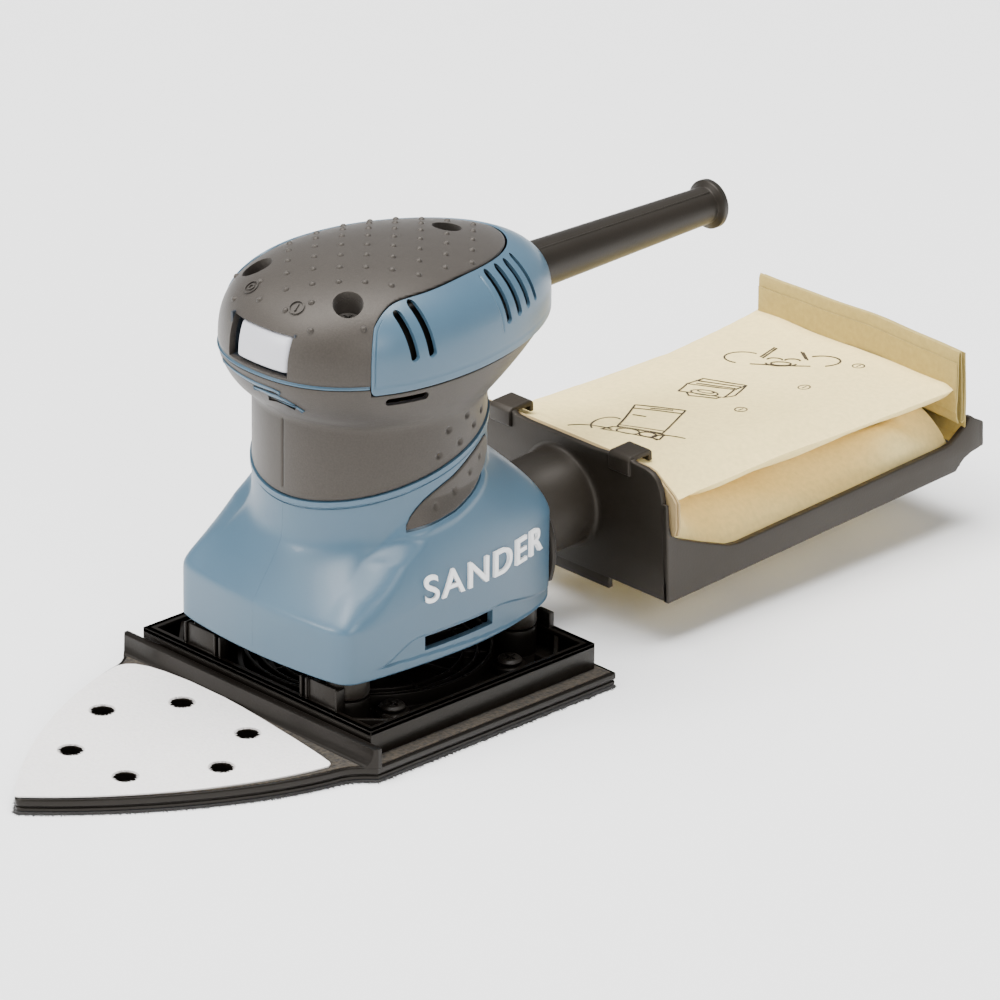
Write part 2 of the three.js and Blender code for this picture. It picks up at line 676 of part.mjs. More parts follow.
const FAN = { radius: 29, hub: 8, height: 7.5, blades: 9 };
function fan() {
  const z = MOTOR.fanZ;
  const disc = tube(onShaft, FAN.radius, z, z + 1.4, 24);
  const hub = tube(onShaft, FAN.hub, z, z + FAN.height, 16);
  const blades = Array.from({ length: FAN.blades }, (_, i) => {
    const blade = box(-0.7, 0.7, 11, FAN.radius - 1.2, z + 1, z + FAN.height);
    return blade.rotate([0, 0, 18]).rotate([0, 0, (i * 360) / FAN.blades]);
  });
  return join(disc, hub, ...blades);
}
part("cooling_fan", fan(), BLACK, motorAxis);

// Ball bearings, each an inner ring on the shaft and an outer ring in its seat.
function bearingRings(z0, z1, radius, bore) {
  const [innerOuter, outerInner] = [lerp(bore, radius, 0.38), lerp(bore, radius, 0.62)];
  const inner = tube(bore, innerOuter, z0, z1, 16);
  const outer = tube(outerInner, radius, z0, z1, 16);
  return { inner, outer };
}
[
  { name: "upper_bearing", z: MOTOR.upperBearingZ, width: 6, radius: UPPER_BEARING_RADIUS },
  { name: "lower_bearing", z: MOTOR.lowerBearingZ, width: 7, radius: LOWER_BEARING_RADIUS },
].forEach(({ name, z, width, radius }) => {
  const { inner, outer } = bearingRings(z, z + width, radius, onShaft);
  part(`${name}_inner_ring`, inner, STEEL, motorAxis);
  part(`${name}_outer_ring`, outer, STEEL, motorAxis);
});

function bearingBracket() {
  const seat = LOWER_BEARING_RADIUS + 0.1;
  const z = MOTOR.lowerBearingZ;
  const hub = tube(seat, 14.5, z, z + 7.4, 16);
  const disc = tube(14, 37.2, z + 4.8, z + 7.4, 24);
  const windows = Array.from({ length: 6 }, (_, i) => {
    const at = (i * Math.PI) / 3;
    return sectorRing(17, 29.5, at - rad(21), at + rad(21), z + 3, z + 9, 2);
  });
  return cut(join(hub, disc), ...windows);
}
part("lower_bearing_bracket", bearingBracket(), ALUMINIUM, motorAxis);

// Brushes press on the commutator from the left and the right.
const BRUSH_Z = MOTOR.commutatorZ + 5;
[["left", 1], ["right", -1]].forEach(([side, sign]) => {
  const outwards = (x0, x1, half, halfZ) => {
    const [low, high] = [sign * x0, sign * x1].sort((a, b) => a - b);
    return box(low, high, -half, half, BRUSH_Z - halfZ, BRUSH_Z + halfZ);
  };
  part(`carbon_brush_${side}`, outwards(10.4, 20, 2.4, 3), CARBON, motorAxis);
  const sleeve = cut(outwards(12.4, 28.6, 3.9, 4.4), outwards(11, 27.2, 2.7, 3.3));
  part(`brush_holder_${side}`, sleeve, BRASS, motorAxis);
  const spring = tube(1.2, 2, 20.3, 26.9, 16).rotate([0, sign * 90, 0]).translate([0, 0, BRUSH_Z]);
  part(`brush_spring_${side}`, spring, STEEL, motorAxis);
});

// ---------------------------------------------------------------- eccentric drive
// The hub clamps on the shaft, carries the offset pin and is balanced by a half-round weight.
const PIN_RADIUS = 5;
function eccentric() {
  const hub = rod(9, 22.4, 31.4, 16);
  const weight = sectorRing(8, 22, -rad(75), rad(75), 22.9, 31.2, 8);
  const shaftBore = rod(onShaft, 24.2, 33, 16);
  const pin = rod(PIN_RADIUS, 9.2, 22.6, 16).translate([0, ORBIT_OFFSET, 0]);
  return join(cut(join(hub, weight), shaftBore), pin);
}
part("eccentric_balancer", eccentric(), STEEL, motorAxis);

// ---------------------------------------------------------------- pad assembly
const padBearing = bearingRings(10.5, 18.5, 13, PIN_RADIUS + 0.15);
part("pad_bearing_inner_ring", padBearing.inner, STEEL);
part("pad_bearing_outer_ring", padBearing.outer, STEEL);

const PAD_SCREWS = [[36, 24], [36, -24], [-36, 24], [-36, -24]];
const PLATEN_BOTTOM = PAD_TOP + 0.3;

function legSocket([x, y]) {
  return tube(LEG_RADIUS + 0.15, LEG_RADIUS + 1.9, PLATEN_BOTTOM, 15.5, 12).translate([x, y, 0]);
}

function platen() {
  const plan = [-PLATEN_HALF_X, PLATEN_HALF_X, -PLATEN_HALF_Y, PLATEN_HALF_Y];
  const floor = box(...plan, PLATEN_BOTTOM, PLATEN_FLOOR);
  const rimBlock = box(...plan, PLATEN_BOTTOM, PLATEN_RIM);
  const [inX, inY] = [PLATEN_HALF_X - PLATEN_WALL, PLATEN_HALF_Y - PLATEN_WALL];
  const rim = cut(rimBlock, box(-inX, inX, -inY, inY, PLATEN_BOTTOM - 1, PLATEN_RIM + 1));
  const hubOuter = rod(15.5, PLATEN_BOTTOM, 20, 20);
  const ribs = [
    box(-inX - 0.5, inX + 0.5, -1, 1, PLATEN_BOTTOM, 11),
    box(-1, 1, -inY - 0.5, inY + 0.5, PLATEN_BOTTOM, 11),
  ];
  const corners = [[1, 1], [1, -1], [-1, 1], [-1, -1]].map(([sx, sy]) => {
    const rib = box(-9, 9, -0.8, 0.8, PLATEN_BOTTOM, 12.6).rotate([0, 0, 45 * -sx * sy]);
    return rib.translate([sx * (inX - 6), sy * (inY - 6), 0]);
  });
  const pads = PAD_SCREWS.map(([x, y]) => rod(5.2, PLATEN_BOTTOM, 9.4, 12).translate([x, y, 0]));
  const sockets = LEG_PLACES.map(legSocket);
  const holders = [-1, 1].map((side) => {
    const [low, high] = [side * 19.5, side * 33.3].sort((a, b) => a - b);
    return box(low, high, -44.3, -42.3, PLATEN_BOTTOM, 20.2);
  });
  const body = join(floor, rim, hubOuter, ...ribs, ...corners, ...pads, ...sockets, ...holders);
  const holes = [
    rod(13.1, 10.3, 21, 16),
    rod(9, PLATEN_BOTTOM - 1, 11, 16),
    ...LEG_PLACES.map(([x, y]) => rod(LEG_RADIUS + 0.15, 8.6, 20, 12).translate([x, y, 0])),
    ...PAD_SCREWS.map(([x, y]) => rod(2.3, PLATEN_BOTTOM - 1, 11, 8).translate([x, y, 0])),
  ];
  return cut(body, ...holes);
}
part("platen", platen(), BLACK);

[["front_left", 0], ["front_right", 1], ["rear_left", 2], ["rear_right", 3]].forEach(([place, i]) => {
  const [x, y] = LEG_PLACES[i];
  const leg = join(rod(LEG_RADIUS, 8.8, 34.5, 12), rod(LEG_RADIUS + 1.9, 15.8, 22, 12));
  part(`rubber_leg_${place}`, leg.translate([x, y, 0]), RUBBER);
});

// The pad's plan: a rectangle under the platen that narrows into the delta nose.
function padShape() {
  const neckX = 49.6;
  const shape = new THREE.Shape();
  shape.moveTo(PAD_HALF_WIDTH, PAD_REAR_Y);
  shape.lineTo(-PAD_HALF_WIDTH, PAD_REAR_Y);
  shape.lineTo(-PAD_HALF_WIDTH, PAD_FRONT_Y);
  shape.bezierCurveTo(-53.5, PAD_FRONT_Y - 2.5, -50.6, PAD_FRONT_Y - 5, -neckX, PAD_FRONT_Y - 9);
  shape.bezierCurveTo(-44.5, -84, -24, -117, -1.5, PAD_TIP_Y + 0.6);
  shape.quadraticCurveTo(0, PAD_TIP_Y, 1.5, PAD_TIP_Y + 0.6);
  shape.bezierCurveTo(24, -117, 44.5, -84, neckX, PAD_FRONT_Y - 9);
  shape.bezierCurveTo(50.6, PAD_FRONT_Y - 5, 53.5, PAD_FRONT_Y - 2.5, PAD_HALF_WIDTH, PAD_FRONT_Y);
  return shape;
}

function sandingPad() {
  const flange = new THREE.Shape();
  flange.moveTo(PAD_FRONT_Y, FLANGE_TOP);
  flange.lineTo(PAD_FRONT_Y + 1.6, FLANGE_TOP);
  flange.lineTo(PAD_FRONT_Y + 1.8, PAD_TOP - 0.5);
  flange.lineTo(PAD_FRONT_Y - 3.6, PAD_TOP - 0.5);
  flange.quadraticCurveTo(PAD_FRONT_Y - 0.4, PAD_TOP + 1, PAD_FRONT_Y, FLANGE_TOP);
  const wall = extruded(flange, -PAD_HALF_WIDTH, PAD_HALF_WIDTH).rotate([90, 0, 90]);
  const trimmed = wall.intersect(extruded(padShape(), PAD_TOP - 1, FLANGE_TOP + 1));
  return join(extruded(padShape(), HOOK_TOP + 0.05, PAD_TOP), trimmed);
}
part("sanding_pad", sandingPad(), BLACK);
part("hook_layer", extruded(padShape(), 0, HOOK_TOP), RUBBER);

const SHEET_HOLES = [[14.5, -60.8], [26.4, -81.8], [12.1, -106.6]].flatMap(([x, y]) => [[x, y], [-x, y]]);
function deltaSheet() {
  const shape = new THREE.Shape();
  shape.moveTo(47, -58.5);
  shape.bezierCurveTo(30, -52.6, -30, -52.6, -47, -58.5);
  shape.bezierCurveTo(-42, -85, -22.5, -117, -1, PAD_TIP_Y + 1.4);
  shape.lineTo(1, PAD_TIP_Y + 1.4);
  shape.bezierCurveTo(22.5, -117, 42, -85, 47, -58.5);
  SHEET_HOLES.forEach(([x, y]) => {
    const hole = new THREE.Path();
    hole.absarc(x, y, SHEET_HOLE_RADIUS, 0, Math.PI * 2, true);
    shape.holes.push(hole);
  });
  return extruded(shape, PAD_TOP + 0.1, PAD_TOP + 0.1 + SHEET_THICKNESS);
}
part("delta_sheet", deltaSheet(), SHEET_WHITE);

PAD_SCREWS.forEach(([x, y], i) => {
  const head = rod(3.9, 9.5, 11.4, 12);
  const shank = rod(2, PAD_TOP + 0.4, 9.6, 8);
  part(`pad_screw_${i + 1}`, join(head, shank).translate([x, y, 0]), STEEL);
});

// ---------------------------------------------------------------- dust outlet
part("dust_outlet", onOutlet(tube(10.5, 12.7, -41, -14, 20)), BLACK);
const ringProfile = [
  [13.3, 53.4], [23.6, 53.4], [23.8, 55], [20.5, 57.2], [16.5, 58.4], [13.3, 58.4], [13.3, 53.4],
];
function outletRing() {
  const ring = alongY(solid(turned(ringProfile, 24))).translate([0, 0, OUTLET_BOSS_Z]);
  const floor = box(-60, 60, 40, 70, -60, SKIRT_BOTTOM);
  return cut(ring, onOutlet(rod(13, -50, -10, 20)), floor);
}
part("outlet_ring", outletRing(), RUBBER);

// ---------------------------------------------------------------- dust box, in its own pitched frame
const dustBox = new THREE.Group();
dustBox.position.set(0, BOX_Y, BOX_Z);
dustBox.rotation.x = BOX_PITCH;
tool.add(dustBox);

const FRAME_WALL = 2;
const TUBE_MOUTH = -20.7;
const CLAW = { outerX: 30.3, width: 9, reachY: 9.5, top: 44.3 };
const FRONT_TOP = 43;

function frontWallShape() {
  const w = BOX_HALF_WIDTH;
  const shape = new THREE.Shape();
  shape.moveTo(-w, 0);
  shape.lineTo(w, 0);
  shape.lineTo(w - 1.9, 35);
  shape.quadraticCurveTo(w - 3, FRONT_TOP - 0.4, w - 12, FRONT_TOP);
  shape.lineTo(-w + 12, FRONT_TOP);
  shape.quadraticCurveTo(-w + 3, FRONT_TOP - 0.4, -w + 1.9, 35);
  return shape;
}

function sideWallShape() {
  const shape = new THREE.Shape();
  shape.moveTo(0, 0);
  shape.lineTo(126, 0);
  shape.absarc(134.5, -2.5, 6.6, Math.PI * 0.75, Math.PI * 0.25, true);
  shape.lineTo(BOX_LENGTH, 4.5);
  shape.lineTo(BOX_LENGTH, 13.5);
  shape.lineTo(134, 16.5);
  shape.quadraticCurveTo(128, 12, 124, 9.8);
  shape.lineTo(30, 9.8);
  shape.quadraticCurveTo(24, 10.4, 16, 14.8);
  shape.lineTo(5, 19.9);
  shape.lineTo(0, 22.8);
  return shape;
}

function upright(shape, y0, y1) {
  return extruded(shape, 0, y1 - y0).rotate([90, 0, 0]).translate([0, y1, 0]);
}

function bagFrame() {
  const front = upright(frontWallShape(), 0, FRAME_WALL);
  const side = (x0) => {
    const wall = extruded(sideWallShape(), 0, FRAME_WALL);
    return wall.rotate([90, 0, 90]).translate([x0, 0, 0]);
  };
  const sides = [side(-BOX_HALF_WIDTH), side(BOX_HALF_WIDTH - FRAME_WALL)];
  const rear = box(-BOX_HALF_WIDTH, BOX_HALF_WIDTH, BOX_LENGTH - FRAME_WALL, BOX_LENGTH, 4.5, 13.5);
  const tab = box(-20, 19.7, 0, FRAME_WALL, -3.5, 1);
  const claws = [-CLAW.outerX, CLAW.outerX - CLAW.width].map((x0) =>
    join(
      box(x0, x0 + CLAW.width, 0, CLAW.reachY, CLAW.top - 2, CLAW.top),
      box(x0, x0 + CLAW.width, CLAW.reachY - 1.6, CLAW.reachY, CLAW.top - 3.6, CLAW.top),
      box(x0, x0 + CLAW.width, 0, FRAME_WALL, FRONT_TOP - 4, CLAW.top),
    ),
  );
  const ledges = [box(-43.6, -38, 8, 128, 0, 1.4), box(38, 43.6, 8, 128, 0, 1.4)];
  const flare = [
    [0, 1], [21.5, 1], [21.5, 0], [17.4, -2.2],
    [TUBE_RADIUS, -6], [TUBE_RADIUS, TUBE_MOUTH], [0, TUBE_MOUTH],
  ];
  const socket = alongY(solid(turned(flare, 20))).translate([0, 0, OUTLET_HEIGHT]);
  const bore = alongY(rod(12.85, -30, 6, 20)).translate([0, 0, OUTLET_HEIGHT]);
  return cut(join(front, ...sides, rear, tab, ...claws, ...ledges, socket), bore);
}
part("bag_frame", bagFrame(), BOX_BROWN, dustBox);

const CARD_Y = 2.5;
function fixingCard() {
  const half = [[41, 2.2], [41, 23.6], [46.2, 24.4], [46.2, 37], [41.5, 41.6]];
  const outline = [...half, ...half.map(([x, z]) => [-x, z]).reverse()];
  const shape = new THREE.Shape(outline.map(([x, z]) => new THREE.Vector2(x, z)));
  const hole = new THREE.Path();
  hole.absarc(0, OUTLET_HEIGHT, 12.4, 0, Math.PI * 2, true);
  shape.holes.push(hole);
  return upright(shape, CARD_Y, CARD_Y + 1.4);
}
part("bag_fixing_card", fixingCard(), CARD, dustBox);
const seal = alongY(tube(11.2, 13.6, 4.1, 5.3, 16)).translate([0, 0, OUTLET_HEIGHT]);
part("bag_card_seal", seal, RUBBER, dustBox);

// The paper bag: flat top and bottom sheets, side gussets folded inwards, rear end rolled up.
const BAG = { front: 5.6, rear: 127, half: 43, gussetDepth: 15 };
function bagSection(y) {
  const s = (y - BAG.front) / (BAG.rear - BAG.front);
  const open = smooth(0, 0.12, s);
  const floor = lerp(4, 2, open);
  const edge = lerp(33, 27.5, s);
  const crown = edge + lerp(4, 3, s);
  const tuck = BAG.gussetDepth * smooth(-0.2, 0.1, s) * smooth(1.12, 0.9, s);
  const overhang = 1.8 * smooth(0, 0.15, s);
  const side = (sign) => [
    [sign * (BAG.half - 1), floor],
    [sign * (BAG.half - 1), floor + 4.5],
    [sign * (BAG.half - tuck), (floor + edge) / 2],
    [sign * (BAG.half + overhang), edge],
    [sign * BAG.half * 0.6, crown - 0.6],
  ];
  const outline = [...side(1), [0, crown], ...side(-1).reverse()];
  return outline.map(([x, z]) => v3(x, y, z));
}
function paperBag() {
  const steps = [0, 0.06, 0.14, 0.3, 0.5, 0.7, 0.86, 1];
  const body = loft(steps.map((s) => bagSection(lerp(BAG.front, BAG.rear, s))), false);
  const roll = box(-41, 46, 126.4, 130.4, 16, 41.4);
  return cut(join(body, roll), alongY(rod(11.2, 0, 12, 14)).translate([0, 0, OUTLET_HEIGHT]));
}
part("paper_bag", paperBag(), PAPER, dustBox);

export default tool;
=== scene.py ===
"""Looks of the palm-grip detail sander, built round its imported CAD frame.

Lengths inside the helpers are millimetres, and meshes are made in metres.
Angles run round the tool from the nose (0) over the left side (90) to the rear (180)."""

import json
import math

import bmesh
import bpy
import numpy as np
from mathutils import Matrix, Vector
from mathutils.bvhtree import BVHTree


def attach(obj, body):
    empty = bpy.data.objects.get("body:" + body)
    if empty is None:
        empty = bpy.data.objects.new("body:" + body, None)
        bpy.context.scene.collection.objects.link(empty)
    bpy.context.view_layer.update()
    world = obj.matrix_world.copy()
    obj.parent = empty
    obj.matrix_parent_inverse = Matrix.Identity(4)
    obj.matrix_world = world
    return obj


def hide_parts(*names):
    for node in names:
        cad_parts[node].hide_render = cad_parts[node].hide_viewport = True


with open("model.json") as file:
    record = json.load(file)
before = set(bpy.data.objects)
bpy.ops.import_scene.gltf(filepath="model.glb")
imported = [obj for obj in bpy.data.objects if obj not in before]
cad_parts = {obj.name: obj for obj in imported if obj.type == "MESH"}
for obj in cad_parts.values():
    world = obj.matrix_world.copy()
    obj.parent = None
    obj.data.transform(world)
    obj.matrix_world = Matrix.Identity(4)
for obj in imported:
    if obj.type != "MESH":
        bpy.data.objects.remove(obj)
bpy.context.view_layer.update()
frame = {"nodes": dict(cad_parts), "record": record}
MM = 0.001


# ---------------------------------------------------------------- materials
def adjusted(node, **values):
    """Sets a node's inputs; a _ stands for a space in an input's name."""
    for name, value in values.items():
        node.inputs[name.replace("_", " ")].default_value = value
    return node


WEAR = 0.08


def material(name, color, rough, grain, metal=0.0, bump=0.12, spread=0.06, edge=0.0003,
             coat=0.0, sheen=0.0, through=0.0, scuffs=0.0, fleck=False, gloss=0.5):
    """A procedural finish: grain in the bump, drifts or flecks in colour, and softened edges."""
    made = bpy.data.materials.new(name)
    made.use_nodes = True
    tree = made.node_tree
    shader = tree.nodes["Principled BSDF"]
    make = tree.nodes.new
    link = tree.links.new
    where = make("ShaderNodeTexCoord").outputs["Object"]

    def noise(scale, detail):
        n = adjusted(make("ShaderNodeTexNoise"), Scale=scale, Detail=detail)
        link(where, n.inputs["Vector"])
        return n.outputs["Fac"]

    def spanned(value, low, high):
        """Noise mostly lies between 0.3 and 0.7, and that stretch becomes low to high."""
        n = adjusted(make("ShaderNodeMapRange"), From_Min=0.3, From_Max=0.7, To_Min=low,
                     To_Max=high)
        link(value, n.inputs["Value"])
        return n.outputs["Result"]

    def mixed(factor, first, second):
        n = make("ShaderNodeMix")
        n.data_type = "RGBA"
        link(factor, n.inputs["Factor"])
        return adjusted(n, A=(*first, 1), B=(*second, 1)).outputs["Result"]

    fine = noise(grain, 3)
    slow = noise(38, 4)
    dark = tuple(max(0.0, c * (1 - spread)) for c in color)
    light = tuple(min(1.0, c * (1 + spread)) for c in color)
    patches = noise(grain * 0.9, 5) if fleck else slow
    link(mixed(spanned(patches, 0, 1), dark, light), shader.inputs["Base Color"])
    rough_value = spanned(slow, rough - WEAR / 2, rough + WEAR / 2)
    if scuffs:
        streaks = make("ShaderNodeMath")
        streaks.operation = "ADD"
        link(rough_value, streaks.inputs[0])
        link(spanned(noise(240, 6), -scuffs, scuffs), streaks.inputs[1])
        rough_value = streaks.outputs[0]
    link(rough_value, shader.inputs["Roughness"])
    bumps = adjusted(make("ShaderNodeBump"), Strength=bump, Distance=0.0002)
    link(fine, bumps.inputs["Height"])
    if edge:
        soft = adjusted(make("ShaderNodeBevel"), Radius=edge)
        soft.samples = 4
        link(soft.outputs["Normal"], bumps.inputs["Normal"])
    link(bumps.outputs["Normal"], shader.inputs["Normal"])
    adjusted(shader, Metallic=metal, Coat_Weight=coat, Sheen_Weight=sheen,
             Transmission_Weight=through)
    if gloss < 0.5:
        adjusted(shader, Specular_Tint=(1.0, 0.93, 0.85, 1), Specular_IOR_Level=gloss)
    return made


FINISH = {
    "blue_shell": material("blue_shell", (0.052, 0.104, 0.152), 0.40, grain=1600, bump=0.10,
                           spread=0.03, coat=0.05, edge=0.00012),
    "soft_grip": material("soft_grip", (0.0288, 0.0241, 0.0197), 0.50, grain=2000, bump=0.30,
                          spread=0.16, sheen=0.12, fleck=True, gloss=0.45),
    "black_plastic": material("black_plastic", (0.0040, 0.0031, 0.0023), 0.32, grain=1300,
                              bump=0.15, spread=0.10, gloss=0.26),
    "black_rubber": material("black_rubber", (0.0085, 0.0062, 0.0038), 0.42, grain=1500, bump=0.15,
                             spread=0.08, sheen=0.06, gloss=0.33),
    "box_plastic": material("box_plastic", (0.0150, 0.0115, 0.0078), 0.50, grain=1400, bump=0.18,
                            spread=0.10, gloss=0.38),
    "switch_lens": material("switch_lens", (0.62, 0.62, 0.66), 0.30, grain=500, bump=0.06,
                            spread=0.05, through=0.15),
    "bag_paper": material("bag_paper", (0.92, 0.735, 0.325), 0.85, grain=640, bump=0.55,
                          spread=0.06, edge=0, fleck=True),
    "card": material("card", (0.42, 0.30, 0.14), 0.9, grain=600, bump=0.4, spread=0.06),
    "abrasive_sheet": material("abrasive_sheet", (0.83, 0.80, 0.78), 0.9, grain=1100, bump=1.0,
                               spread=0.05, edge=0, fleck=True),
    "hook_pile": material("hook_pile", (0.022, 0.020, 0.019), 0.95, grain=900, bump=1.0, edge=0,
                          sheen=0.3),
    "steel": material("steel", (0.42, 0.42, 0.43), 0.36, metal=1.0, grain=700, scuffs=0.08),
    "iron": material("iron", (0.12, 0.12, 0.13), 0.5, metal=0.8, grain=500, scuffs=0.1),
    "copper": material("copper", (0.45, 0.17, 0.06), 0.42, metal=0.9, grain=500),
    "brass": material("brass", (0.46, 0.30, 0.09), 0.4, metal=1.0, grain=600, scuffs=0.06),
    "carbon": material("carbon", (0.02, 0.02, 0.021), 0.7, grain=900),
    "aluminium": material("aluminium", (0.48, 0.48, 0.49), 0.5, metal=1.0, grain=350, bump=0.3),
}
FELT = material("felt_ledge", (0.024, 0.018, 0.011), 0.95, grain=1000, bump=1.0, spread=0.9,
                edge=0, sheen=0.2, fleck=True, gloss=0.3)
# bag paper darkened to paint the shade on the rolled rear end of the bag
PAPER_PAINTED_SHADE = material("paper_painted_shade", (0.40, 0.305, 0.098), 0.88, grain=640, bump=0.55, spread=0.08, edge=0,
               fleck=True)
WHITE_PAINT = material("white_paint", (0.86, 0.86, 0.86), 0.4, grain=1200, bump=0.05, spread=0.01)
INK = material("ink", (0.035, 0.024, 0.010), 0.8, grain=900, spread=0.3, edge=0)
SCREW = material("blacked_screw", (0.12, 0.11, 0.10), 0.32, metal=0.8, grain=600, scuffs=0.08)
BOLT = material("blacked_bolt", (0.016, 0.013, 0.010), 0.36, metal=0.3, grain=600, scuffs=0.08)
SLATE = material("slate_frame", (0.016, 0.022, 0.030), 0.40, grain=1400, spread=0.03)

for entry in frame["record"]["subparts"]:
    node = frame["nodes"][entry["node"]]
    node.data.materials.clear()
    node.data.materials.append(FINISH[entry["material_slot"]])
    node.data.set_sharp_from_angle(angle=math.radians(32))


# ---------------------------------------------------------------- mesh helpers
def grid_faces(rows, cols, wrap=False, start=0):
    """Quads over a grid of vertices numbered row by row."""
    j, i = np.meshgrid(np.arange(rows - 1), np.arange(cols if wrap else cols - 1), indexing="ij")
    k = (i + 1) % cols
    quads = np.stack([j * cols + i, j * cols + k, (j + 1) * cols + k, (j + 1) * cols + i], -1)
    return (quads.reshape(-1, 4) + start).tolist()


def capped(rows, cols):
    """The faces that close the first and the last ring."""
    return [list(range(cols))[::-1], list(range((rows - 1) * cols, rows * cols))]


def circle(steps):
    """Angles at even steps round a circle."""
    return np.linspace(0, 2 * math.pi, steps, endpoint=False)


def spin(degrees, axis):
    return Matrix.Rotation(math.radians(degrees), 4, axis)


def normals_of(grid, wrap):
    if wrap:
        wide = np.concatenate([grid[:, -1:], grid, grid[:, :1]], 1)
        du = np.gradient(wide, axis=1)[:, 1:-1]
    else:
        du = np.gradient(grid, axis=1)
    normal = np.cross(du, np.gradient(grid, axis=0))
    return normal / np.maximum(np.linalg.norm(normal, axis=2, keepdims=True), 1e-9)


def shell(grid, thickness, wrap=False, normals=None):
    """A closed skin: the grid is its outer side, seen with columns to the right and rows up."""
    rows, cols = grid.shape[:2]
    inner = grid - (normals_of(grid, wrap) if normals is None else normals) * thickness
    count = rows * cols
    faces = grid_faces(rows, cols, wrap)
    faces += [f[::-1] for f in grid_faces(rows, cols, wrap, count)]
    ends = range(cols) if wrap else range(cols - 1)
    top = (rows - 1) * cols
    for i in ends:
        k = (i + 1) % cols
        faces.append([k, i, count + i, count + k])
        faces.append([top + i, top + k, count + top + k, count + top + i])
    if not wrap:
        for j in range(rows - 1):
            a, b = j * cols, (j + 1) * cols
            faces.append([a, b, count + b, count + a])
            faces.append([b + cols - 1, a + cols - 1, count + a + cols - 1, count + b + cols - 1])
    return np.concatenate([grid.reshape(-1, 3), inner.reshape(-1, 3)]), faces


def box(x0, x1, y0, y1, z0, z1):
    verts = [(x, y, z) for z in (z0, z1) for y in (y0, y1) for x in (x0, x1)]
    faces = [[0, 2, 3, 1], [4, 5, 7, 6], [0, 1, 5, 4], [2, 6, 7, 3], [0, 4, 6, 2], [1, 3, 7, 5]]
    return np.array(verts, float), faces


def prism(points, low, high):
    """A polygon in X and Y, given anticlockwise, stood up from low to high in Z."""
    n = len(points)
    verts = [(x, y, z) for z in (low, high) for x, y in points]
    faces = [[i, (i + 1) % n, n + (i + 1) % n, n + i] for i in range(n)]
    return np.array(verts, float), capped(2, n) + faces


def revolve(profile, segments, closed=True):
    """A profile of (radius, height) points, anticlockwise, turned about Z."""
    turn = circle(segments)
    p = np.array(profile, float)
    ring = np.stack([np.outer(p[:, 0], np.cos(turn)), np.outer(p[:, 0], np.sin(turn)),
                     np.repeat(p[:, 1:], segments, 1)], -1)
    faces = grid_faces(len(p), segments, wrap=True)
    if closed:
        last = (len(p) - 1) * segments
        for i in range(segments):
            k = (i + 1) % segments
            faces.append([last + i, last + k, k, i])
    else:
        faces += capped(len(p), segments)
    return ring.reshape(-1, 3), faces


def tube(inner, outer, low, high, segments):
    """A ring with a rectangular section."""
    return revolve([(inner, low), (outer, low), (outer, high), (inner, high)], segments)


def rod(radius, low, high, segments, chamfer=0.0):
    profile = [(1e-4, low), (radius - chamfer, low), (radius, low + chamfer),
               (radius, high - chamfer), (radius - chamfer, high), (1e-4, high)]
    return revolve(profile, segments, closed=False)


def moved(shape, by=(0, 0, 0), turn=None):
    verts, faces = shape
    if turn is not None:
        verts = verts @ np.array(turn.to_3x3()).T
    return verts + np.array(by, float), faces


def along_y(shape, height):
    """Lays a standing shape down to the rear, its axis at a height."""
    return moved(shape, (0, 0, height), Matrix.Rotation(-math.pi / 2, 4, "X"))


def mirrored(shape):
    verts, faces = shape
    return verts * np.array([-1, 1, 1]), [f[::-1] for f in faces]


SIDES = (("left", lambda shape: shape), ("right", mirrored))


def merged(*shapes):
    verts, faces, count = [], [], 0
    for v, f in shapes:
        verts.append(np.asarray(v, float))
        faces += [[i + count for i in face] for face in f]
        count += len(v)
    return np.concatenate(verts), faces


def mesh_object(name, shape):
    verts, faces = shape
    mesh = bpy.data.meshes.new(name)
    mesh.from_pydata((np.asarray(verts) * MM).tolist(), [], faces)
    made = bpy.data.objects.new(name, mesh)
    bpy.context.scene.collection.objects.link(made)
    return made


def solved(made):
    """An object's mesh with its modifiers applied."""
    return bpy.data.meshes.new_from_object(
        made.evaluated_get(bpy.context.evaluated_depsgraph_get()))


def carve(target, shape, operation="DIFFERENCE"):
    """Cuts one closed shape out of a piece."""
    cutter = mesh_object("cutter", shape)
    modifier = target.modifiers.new("carve", "BOOLEAN")
    modifier.operation = operation
    modifier.solver = "MANIFOLD"
    modifier.object = cutter
    result = solved(target)
    target.modifiers.clear()
    if len(result.polygons) > 3:
        target.data = result
    else:
        print("carve left", target.name, "as it was")
    bpy.data.objects.remove(cutter)


def face_out(made, weld=False):
    """Turns every face outwards; welding first joins the points that coincide."""
    edit = bmesh.new()
    edit.from_mesh(made.data)
    if weld:
        bmesh.ops.remove_doubles(edit, verts=edit.verts, dist=1e-6)
    bmesh.ops.recalc_face_normals(edit, faces=edit.faces)
    edit.to_mesh(made.data)
    edit.free()


def taken(made):
    """The shape of an object that was only needed on the way."""
    shape = (np.array([v.co for v in made.data.vertices]) / MM,
             [list(p.vertices) for p in made.data.polygons])
    bpy.data.objects.remove(made)
    return shape


def piece(name, shape, slot, body, stands_for=(), cuts=(), finish=None, sharp=32):
    """A shown piece: made, carved, finished, set on its body and put in place of CAD nodes."""
    made = shape if isinstance(shape, bpy.types.Object) else mesh_object(name, shape)
    face_out(made)
    for cut in cuts:
        carve(made, cut)
    made.data.materials.clear()
    made.data.materials.append(finish or FINISH[slot])
    made.data.shade_smooth()
    made.data.set_sharp_from_angle(angle=math.radians(sharp))
    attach(made, body)
    if stands_for:
        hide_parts(*stands_for)
    return made


# ---------------------------------------------------------------- the body's surfaces
def smooth(low, high, value):
    t = np.clip((value - low) / (high - low), 0, 1)
    return t * t * (3 - 2 * t)


def folded(a):
    return np.arccos(np.clip(np.cos(a), -1, 1))


